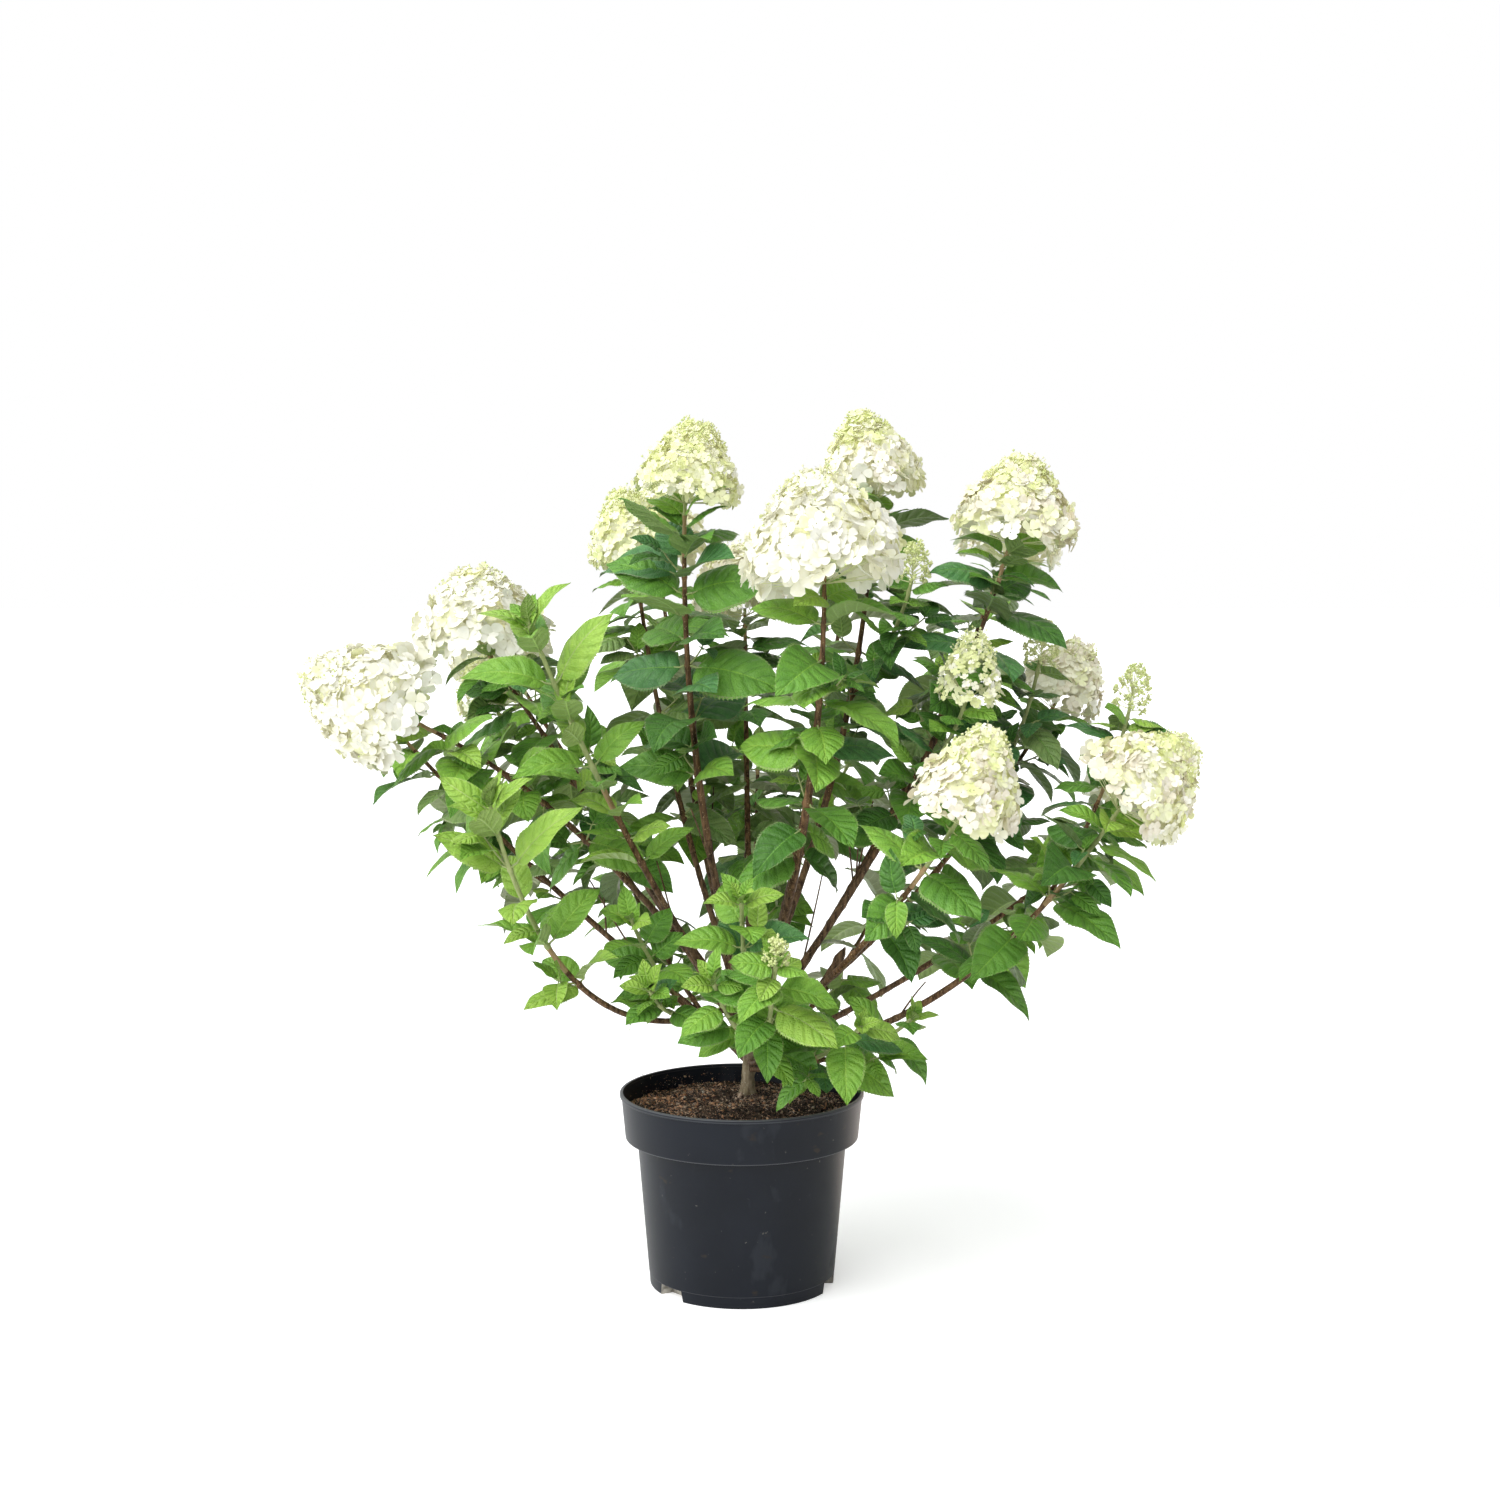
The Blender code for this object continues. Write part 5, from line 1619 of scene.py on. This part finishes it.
def grow_leaves():
    """The solids' own leaves first, so that they stand where those do, and then the rest."""
    leaves = Heap("leaves", LEAVES, "foliage", MASSES)
    taken, owned, kept = space_of_wood(), {}, []
    for shoot in shoots:
        own = owned.setdefault(shoot.mass, Taken())
        tries, looks = random.Random(shoot.seed + " tries"), random.Random(shoot.seed + " looks")
        for order, leaf in shoot_leaves(shoot):
            grown = place_leaf(leaf, shoot, order, tries, looks, taken, own, leaves)
            if grown:
                kept.append((grown, shoot, order))
    for shoot in shoots:
        tries, looks = random.Random(shoot.seed + " more"), random.Random(shoot.seed + " shades")
        if not shoot.head:
            grow_tuft(shoot, taken, leaves, looks)
        for order, leaf in extra_leaves(shoot):
            place_leaf(leaf, shoot, order, tries, looks, taken, owned[shoot.mass], leaves)
    rng = random.Random("twigs")
    for leaf, shoot, order in kept:
        if order >= TWIG_FIRST_NODE and rng.random() < TWIG_SHARE:
            grow_twig(leaf, shoot, order, taken, leaves, rng)
    add_faded_leaf(leaves, rng)
    leaves.close()
    stems.close()


grow_leaves()

# The flower heads
# Blunt cones of sterile florets on thin branching stalks. A floret has four rounded petals, lime
# when it opens at the top of the cone and white to cream below; the last buds are green beads.
PETAL_ROWS = np.array([0.07, 0.44, 0.80, 1.0])
PETAL_HALVES = np.array([0.09, 0.42, 0.48, 0.23])
PETAL_COLUMNS = np.array([-1, 0, 1])
PETAL_FACES = grid_faces(len(PETAL_ROWS), 3)[:, ::-1]
FLORET_KINDS = 10

# Ages of heads: the size of a floret, how many times florets cover the cone, the lowest and the
# highest level with florets, and how far the cone is drawn in at its top, most when it is young.
Age = namedtuple("Age", "size cover lowest highest drawn_in")
AGES = {
    "white": Age(0.0280, 2.3, 0.05, 0.97, 0.20),
    "half": Age(0.0215, 2.0, 0.11, 0.96, 0.42),
    # Half open, and painted darker with cream and tan, as painted shade for the heads on the right.
    "half_in_painted_shade": Age(0.0215, 1.9, 0.13, 0.94, 0.40),
    "lime": Age(0.0155, 1.8, 0.13, 0.94, 0.34),
    "beige": Age(0.0205, 1.9, 0.14, 0.94, 0.20),
    "opening": Age(0.0110, 0.9, 0.05, 0.97, 0.20),
    "bud": Age(0, 0, 0.05, 0.98, 0),
}

# Layers of florets: (share of the florets, depth as a share of the cone's radius).
LAYERS = ((0.50, 0.97), (0.32, 0.91), (0.18, 0.85))
FLORET_TILT = 0.44
LOWEST_FLORETS = 1.08
FLORET_LOSS = 0.64
FLORET_LOSS_CURVE = 1.4
SKIRT = 0.17
SKIRT_FOOT = 0.80
WIDEST = 0.30
WHITE, CREAM, PALE_LIME, LIME, TAN, BEAD, STALK, DEPTH = range(8)

# For each age: shares of the first five paints, from the foot of the cone to its top, with the
# height up to which each row goes.
PAINTS = {
    "white": (
        (0.30, (8, 3, 0, 0, 0)),
        (0.85, (8, 3, 1, 0, 0)),
        (0.95, (4, 5, 2, 0, 0)),
        (1.0, (1, 4, 4, 1, 0)),
    ),
    "half": (
        (0.30, (4, 4, 1, 0, 1)),
        (0.58, (3, 5, 2, 0, 1)),
        (0.80, (1, 4, 5, 2, 0)),
        (1.0, (0, 1, 5, 5, 0)),
    ),
    # Darker paints of the half-open heads on the right, with more cream and tan: painted shade.
    "half_in_painted_shade": ((0.35, (2, 4, 2, 0, 4)), (0.65, (1, 3, 3, 1, 4)), (1.0, (0, 1, 4, 4, 3))),
    "lime": ((0.30, (0, 3, 5, 2, 0)), (0.65, (1, 2, 5, 3, 0)), (1.0, (0, 1, 4, 5, 0))),
    "beige": ((0.40, (2, 3, 0, 0, 5)), (0.80, (0, 5, 1, 0, 4)), (1.0, (0, 3, 3, 0, 3))),
    "opening": ((0.5, (1, 3, 5, 3, 0)), (1.0, (0, 1, 4, 5, 0))),
}
PETAL_CUP = (0.10, 0.38)
PETAL_SWAY = 0.12
PETAL_SIZE = (0.88, 1.08)
PETAL_HOLLOW = (-0.1, 0.35)
PETAL_CURVE = 1.3
PETAL_DROOP = 0.25
DROOP_START = 0.7
PETAL_RUFFLE = 0.02
PETAL_LAP = 0.02


def floret_shape(rng):
    """Four cupped, slightly ruffled petals, one unit across, that face up and overlap."""
    corners = []
    cup = rng.uniform(*PETAL_CUP)
    for i in range(4):
        turn = math.tau * i / 4 + rng.uniform(-PETAL_SWAY, PETAL_SWAY)
        size = rng.uniform(*PETAL_SIZE)
        tilt = cup + rng.uniform(-PETAL_SWAY, PETAL_SWAY)
        hollow = rng.uniform(*PETAL_HOLLOW)
        cosine, sine = math.cos(turn), math.sin(turn)
        for row, half in zip(PETAL_ROWS, PETAL_HALVES):
            for column in PETAL_COLUMNS:
                x, y = row * size, column * half * size
                z = tilt * row**PETAL_CURVE + hollow * y**2
                z -= PETAL_DROOP * max(row - DROOP_START, 0)
                z += rng.uniform(-PETAL_RUFFLE, PETAL_RUFFLE)
                z += PETAL_LAP * (i % 2)
                corners.append((x * cosine - y * sine, x * sine + y * cosine, z))
    return np.array(corners) / 2


def floret_faces():
    count = len(PETAL_ROWS) * len(PETAL_COLUMNS)
    return np.concatenate([PETAL_FACES + i * count for i in range(4)])


FLORET_FACES = floret_faces()
shape_rng = random.Random("florets")
FLORETS = [floret_shape(shape_rng) for _ in range(FLORET_KINDS)]


def facing(direction, spin):
    """A rotation that turns up to a direction, and about it by the spin."""
    turn = UP.rotation_difference(direction).to_matrix() @ Matrix.Rotation(spin, 3, "Z")
    return np.array(turn)


def skirt_radius(height):
    """Like the solid's outline, but still wide at its foot, where the lowest florets hang."""
    if height > SKIRT:
        return head_radius(max(height, WIDEST))
    return SKIRT_FOOT + (1 - SKIRT_FOOT) * math.sin(math.pi / 2 * height / SKIRT)


def size_share(height):
    """Florets open from the foot of the cone upwards, so those at its top are smallest."""
    return LOWEST_FLORETS - FLORET_LOSS * height**FLORET_LOSS_CURVE


LEVELS = 40
LEVEL_STEP = 0.02
LUMP_PATTERN = 40
LUMPS = ((2.0, 0.09), (5.0, 0.07))
CONE_CURVE = 1.1
SKIRT_LIFT = 0.15


class Head:
    """A flower head's cone: where its surface is, and which way it faces."""

    def __init__(self, base, aim, length, width, age):
        self.base, self.aim, self.length, self.width = base, aim, length, width
        self.name, self.age = age, AGES[age]
        self.turn = UP.rotation_difference(aim).to_matrix()
        self.levels = [(i + 0.5) / LEVELS for i in range(LEVELS)]
        shares = [skirt_radius(level) / size_share(level) ** 2 for level in self.levels]
        self.filled = np.cumsum(shares) / sum(shares)
        self.crowd = sum(shares) / LEVELS * math.pi * width * length

    def level(self, share):
        """Turns an even share into a height, so that florets crowd alike from foot to top."""
        reach = self.age.highest - self.age.lowest
        return self.age.lowest + reach * float(np.interp(share, self.filled, self.levels))

    def on_axis(self, height):
        return self.base + self.aim * self.length * height

    def spot(self, height, angle, depth):
        """A point of the cone and the way out there; depth is a share of the radius."""
        flat = Vector((math.cos(angle), math.sin(angle), 0))
        way = Vector((flat.x, flat.y, height * 2)) + self.base * LUMP_PATTERN
        lump = sum((rise * noise.noise(way * waves) for waves, rise in LUMPS), 1)
        radius = skirt_radius(height) * self.width / 2 * lump * depth
        out = UP * SKIRT_LIFT
        if height > WIDEST:
            radius *= 1 - self.age.drawn_in * ((height - WIDEST) / (1 - WIDEST)) ** CONE_CURVE
            drop = skirt_radius(height - LEVEL_STEP) - skirt_radius(min(height + LEVEL_STEP, 1))
            out = UP * drop * self.width / 2 / (2 * LEVEL_STEP * self.length)
        out = (flat + out).normalized()
        return self.base + self.turn @ (flat * radius + UP * height * self.length), self.turn @ out


def add_floret(heap, middle, out, size, slot, rng):
    away = (out + scatter(rng, FLORET_TILT)).normalized()
    turn = facing(away, rng.uniform(0, math.tau))
    shape = FLORETS[rng.randrange(FLORET_KINDS)]
    heap.add(shape @ turn.T * size + np.array(middle), FLORET_FACES, slot)


def add_bead(heap, middle, radius, slot):
    heap.add(OCTAHEDRON * radius + np.array(middle), OCTAHEDRON_FACES, slot)


FINE_STALK_SIDES = 3
FINE_STALK_TAPER = (1, 0.9, 0.7)


def add_stalk(heap, start, end, radius):
    radii = [radius * share for share in FINE_STALK_TAPER]
    heap.add(*tube([start, (start + end) / 2, end], radii, FINE_STALK_SIDES), STALK)


CORE_DEPTH = 0.80
CORE_FOOT = 0.15
CORE_TOP = 0.90
CORE_DENT = 0.1
CORE_PEAK = 0.92
CORE_ROWS = 26
CORE_SIDES = 40
CORE_LUMP = 0.10


def add_core(heap, head, rng):
    """The crowded inner florets, which show only as a pale lime depth between the outer ones."""
    points = []
    low = head.age.lowest + CORE_FOOT
    for height in np.linspace(low, CORE_TOP, CORE_ROWS):
        for j in range(CORE_SIDES):
            depth = CORE_DEPTH * rng.uniform(1 - CORE_LUMP, 1 + CORE_LUMP)
            points.append(head.spot(float(height), math.tau * j / CORE_SIDES, depth)[0])
    points += [head.on_axis(low + CORE_DENT), head.on_axis(CORE_PEAK)]
    faces = capped_faces(CORE_ROWS, CORE_SIDES)
    depths = (TAN, CREAM) if head.name == "beige" else (CREAM, PALE_LIME, DEPTH)
    slots = [rng.choice(depths) for _ in faces]
    heap.add(np.array([tuple(point) for point in points]), faces, slots)


GOLDEN_ANGLE = 2.39996
ANGLE_SWAY = 0.3
FLORET_FILL = 0.62
FLORET_SPREAD = (0.80, 1.14)
FLORET_SINK = 0.20
FLORET_LIFT = 0.15
DEPTH_SWAY = 0.05

# Buds that stick out between the florets: how often above a height, and below it.
BUDS_ABOVE, BUDS_ON_TOP, BUDS_BELOW = 0.66, 0.9, 0.10
BUD_ASIDE = 0.3
BUD_DEPTH = 0.95
BUD_LIFT = 0.3
BUD_REACH = (0.001, 0.005)
BUD_SIZE = (0.0011, 0.0018)
PALE_BUDS = 0.6
BUD_STALK = 0.00035

# Stalks that show under the head: one for every fourth of the lowest florets.
STALKS_BELOW = 0.30
STALK_EVERY = 4
STALK_ROOT = 0.05
FLORET_STALK = 0.0006
FLORET_BACK = 0.001


def full_head(heap, head, rng):
    """Florets in three layers over the cone, smaller towards the top, with buds that stick out."""
    size = head.age.size
    count = int(head.crowd / (size * size * FLORET_FILL) * head.age.cover)
    if head.name != "opening":
        add_core(heap, head, rng)
    for i in range(count):
        height = head.level((i + rng.random()) / count)
        angle = i * GOLDEN_ANGLE + rng.uniform(-ANGLE_SWAY, ANGLE_SWAY)
        own = size * size_share(height) * rng.uniform(*FLORET_SPREAD)
        layer = rng.choices(LAYERS, [share for share, _ in LAYERS])[0]
        depth = layer[1] - FLORET_SINK * own / head.width + rng.uniform(-DEPTH_SWAY, DEPTH_SWAY)
        middle, out = head.spot(height, angle, depth)
        shares = next(shares for top, shares in PAINTS[head.name] if height <= top)
        slot = rng.choices(range(len(shares)), shares)[0]
        add_floret(heap, middle, out + head.aim * FLORET_LIFT, own, slot, rng)
        if rng.random() < (BUDS_ON_TOP if height > BUDS_ABOVE else BUDS_BELOW):
            root, out = head.spot(height, angle + BUD_ASIDE, BUD_DEPTH)
            tip = root + (out + head.aim * BUD_LIFT) * rng.uniform(*BUD_REACH)
            add_stalk(heap, root, tip, BUD_STALK)
            radius = rng.uniform(*BUD_SIZE)
            add_bead(heap, tip, radius, PALE_LIME if rng.random() < PALE_BUDS else BEAD)
        if height < STALKS_BELOW and i % STALK_EVERY == 0:
            add_stalk(heap, head.on_axis(STALK_ROOT), middle - out * FLORET_BACK, FLORET_STALK)


KNOTS = 30
KNOT_DEPTH = (0.50, 0.80)
KNOT_STALK = 0.0007
KNOT_ROOT = 0.55
BEADS = 14
BEAD_SCATTER = 0.8
BEAD_REACH = (0.002, 0.0065)
BEAD_SIZE = (0.0012, 0.0020)
BEAD_STALK = 0.0004
BEAD_PAINTS, BEAD_SHARES = (BEAD, LIME, PALE_LIME), (6, 3, 1)


def bud_head(heap, head, rng):
    """A young panicle: stalks that fork to crowded knots of green beads."""
    for i in range(KNOTS):
        height = head.level((i + rng.random()) / KNOTS)
        angle = i * GOLDEN_ANGLE + rng.uniform(-ANGLE_SWAY, ANGLE_SWAY)
        fork, out = head.spot(height, angle, rng.uniform(*KNOT_DEPTH))
        add_stalk(heap, head.base + head.aim * head.length * height * KNOT_ROOT, fork, KNOT_STALK)
        for _ in range(BEADS):
            way = (out + scatter(rng, BEAD_SCATTER)).normalized()
            bead = fork + way * rng.uniform(*BEAD_REACH)
            add_stalk(heap, fork, bead, BEAD_STALK)
            slot = rng.choices(BEAD_PAINTS, BEAD_SHARES)[0]
            add_bead(heap, bead, rng.uniform(*BEAD_SIZE), slot)


PETAL_GLOW = 0.05
THROUGH_PETALS = (1.0, 0.95, 0.56)


def petal_paint(name, first, second, glow=PETAL_GLOW):
    """A thin matt petal. A faint glow stands in for the light that comes through it."""
    made = Finish(name, roughness=0.55, specular=0.3)
    tone = made.mottle(first, second, 160, low=0.35, high=0.65)
    made.shade({"Base Color": tone["Color"]})
    made.shade({"Emission Color": THROUGH_PETALS, "Emission Strength": glow})
    made.grain(900, 0.0002, 0.4)
    return made.material


PETALS = (
    petal_paint("petal_white", (0.87, 0.86, 0.76), (0.915, 0.905, 0.83)),
    petal_paint("petal_cream", (0.86, 0.85, 0.66), (0.90, 0.89, 0.75)),
    petal_paint("petal_pale_lime", (0.78, 0.81, 0.47), (0.85, 0.86, 0.59), 0.06),
    petal_paint("petal_lime", (0.67, 0.725, 0.31), (0.77, 0.80, 0.44), 0.07),
    petal_paint("petal_tan", (0.75, 0.69, 0.54), (0.83, 0.79, 0.66), 0.03),
    # The buds, stalks and the depth between the florets glow most: painted light that lifts the
    # shade in the gaps.
    petal_paint("bud_green", (0.50, 0.60, 0.21), (0.64, 0.71, 0.31), 0.08),
    petal_paint("stalk_green", (0.68, 0.73, 0.39), (0.78, 0.82, 0.49), 0.08),
    petal_paint("head_depth", (0.91, 0.91, 0.55), (0.95, 0.95, 0.70), 0.18),
)
blossom = Heap("flower_heads", PETALS, "blossom", MASSES)
for shoot in shoots:
    if shoot.head:
        head, rng = Head(*shoot.head), random.Random(shoot.seed + " head")
        if head.name == "bud":
            bud_head(blossom, head, rng)
        else:
            full_head(blossom, head, rng)

# One small bud head at the tip of the low shoot over the front of the rim.
LOW_HEAD_SIZE = 0.026
LOW_HEAD_SINK = 0.004
foot = curves["front_mid"].at(curves["front_mid"].length) - UP * LOW_HEAD_SINK
low_head = Head(foot, UP, LOW_HEAD_SIZE, LOW_HEAD_SIZE, "bud")
bud_head(blossom, low_head, random.Random("front_mid head"))
blossom.close()

# The floor and the light
# A plain pale floor, and a studio's soft light from all round with a broad lamp above the camera.
# For the camera the floor is lifted to white, and behind the pot, right, it is mirrored brighter.
FLOOR_SIZE = 30
FLOOR_LIFT = 0.42
FLOOR_GLINT = 0.70
GLINT_START = 0.12
GLINT_END = 0.34
WARM_GLINT = (1.0, 0.80, 0.66)


def make_floor():
    mesh = bpy.data.meshes.new("floor")
    corners = [(x * FLOOR_SIZE, y * FLOOR_SIZE, 0) for x, y in ((-1, -1), (1, -1), (1, 1), (-1, 1))]
    mesh.from_pydata(corners, [], [(0, 1, 2, 3)])
    floor = shown("floor", mesh)
    made = Finish("pale_floor", roughness=0.9, specular=0.2)
    tone = made.mottle((0.92, 0.92, 0.92), (0.94, 0.94, 0.94), 2)
    ray = made.node("LightPath").outputs
    place = made.node("TexCoord").outputs["Object"]
    parts = made.node("SeparateXYZ", {"Vector": place}).outputs
    corner = made.math("MINIMUM", parts["X"], parts["Y"])
    glint = made.ranged(corner, GLINT_START, GLINT_END, 0, FLOOR_GLINT)
    seen = made.between(ray["Is Camera Ray"], 0, FLOOR_LIFT)
    mirrored = made.between(ray["Is Glossy Ray"], 0, glint)
    made.shade({
        "Base Color": tone["Color"],
        "Emission Color": made.mix(ray["Is Glossy Ray"], (1, 1, 1), WARM_GLINT),
        "Emission Strength": made.math("ADD", seen, mirrored),
    })
    mesh.materials.append(made.material)


def add_sun(name, place, spread, strength):
    """Even light from the direction of a place, as soft as its spread in degrees is wide."""
    lamp = bpy.data.lights.new(name, "SUN")
    lamp.angle, lamp.energy = math.radians(spread), strength
    obj = bpy.data.objects.new(name, lamp)
    obj.rotation_euler = Vector(place).to_track_quat("Z", "Y").to_euler()
    bpy.context.scene.collection.objects.link(obj)


# The backdrop's strength from the far left to the far right, and behind the plant on each side,
# with where on the backdrop the part behind the plant and its right side begin and are whole.
LEFT_STRENGTH = 1.13
RIGHT_STRENGTH = 0.12
BEHIND_STRENGTHS = (0.9, 1.7)
BEHIND = (0.66, 0.86)
RIGHT_OF_MIDDLE = (-0.05, 0.15)
COOL_LIGHT = (0.93, 0.965, 1)
WARM_LIGHT = (1.0, 0.86, 0.74)
WHITE_LIGHT = (1, 1, 1)


def make_world():
    """A white backdrop. Its light is stronger on the left of the camera, and warm behind, right."""
    world = bpy.data.worlds.new("studio")
    world.use_nodes = True
    made = Nodes(world.node_tree)
    way = made.node("TexCoord").outputs["Generated"]
    parts = made.node("SeparateXYZ", {"Vector": way}).outputs
    across = made.ranged(parts["X"], -1, 1, LEFT_STRENGTH, RIGHT_STRENGTH)
    behind = made.ranged(parts["Y"], *BEHIND)
    right = made.ranged(parts["X"], *RIGHT_OF_MIDDLE)
    seen = made.node("LightPath").outputs["Is Camera Ray"]
    glow = made.mix(right, *BEHIND_STRENGTHS, "FLOAT")
    strength = made.mix(seen, made.mix(behind, across, glow, "FLOAT"), 1, "FLOAT")
    warmth = made.mix(right, WHITE_LIGHT, WARM_LIGHT)
    colour = made.mix(seen, made.mix(behind, COOL_LIGHT, warmth), WHITE_LIGHT)
    made.fill(world.node_tree.nodes["Background"], {"Color": colour, "Strength": strength})
    bpy.context.scene.world = world


CAMERA_PLACE = (0.0093, -2.561, 0.8395)
CAMERA_DIP = 5.03
SENSOR_WIDTH = 36
LENS = 54.48


def make_camera():
    """The photograph's view: level with the crown, and looking a little down."""
    camera = bpy.data.objects.new("camera", bpy.data.cameras.new("camera"))
    camera.location = CAMERA_PLACE
    camera.rotation_euler = (math.radians(90 - CAMERA_DIP), 0, 0)
    camera.data.sensor_width = SENSOR_WIDTH
    camera.data.lens = LENS
    bpy.context.scene.collection.objects.link(camera)
    bpy.context.scene.camera = camera


# The broad lamp: where it shines from, its spread in degrees and its strength.
KEY_PLACE = (-0.8, -0.9, 1.35)
KEY_SPREAD = 75
KEY_STRENGTH = 2.85

make_floor()
make_world()
add_sun("key", KEY_PLACE, KEY_SPREAD, KEY_STRENGTH)
make_camera()
bpy.context.scene.view_settings.view_transform = "Standard"
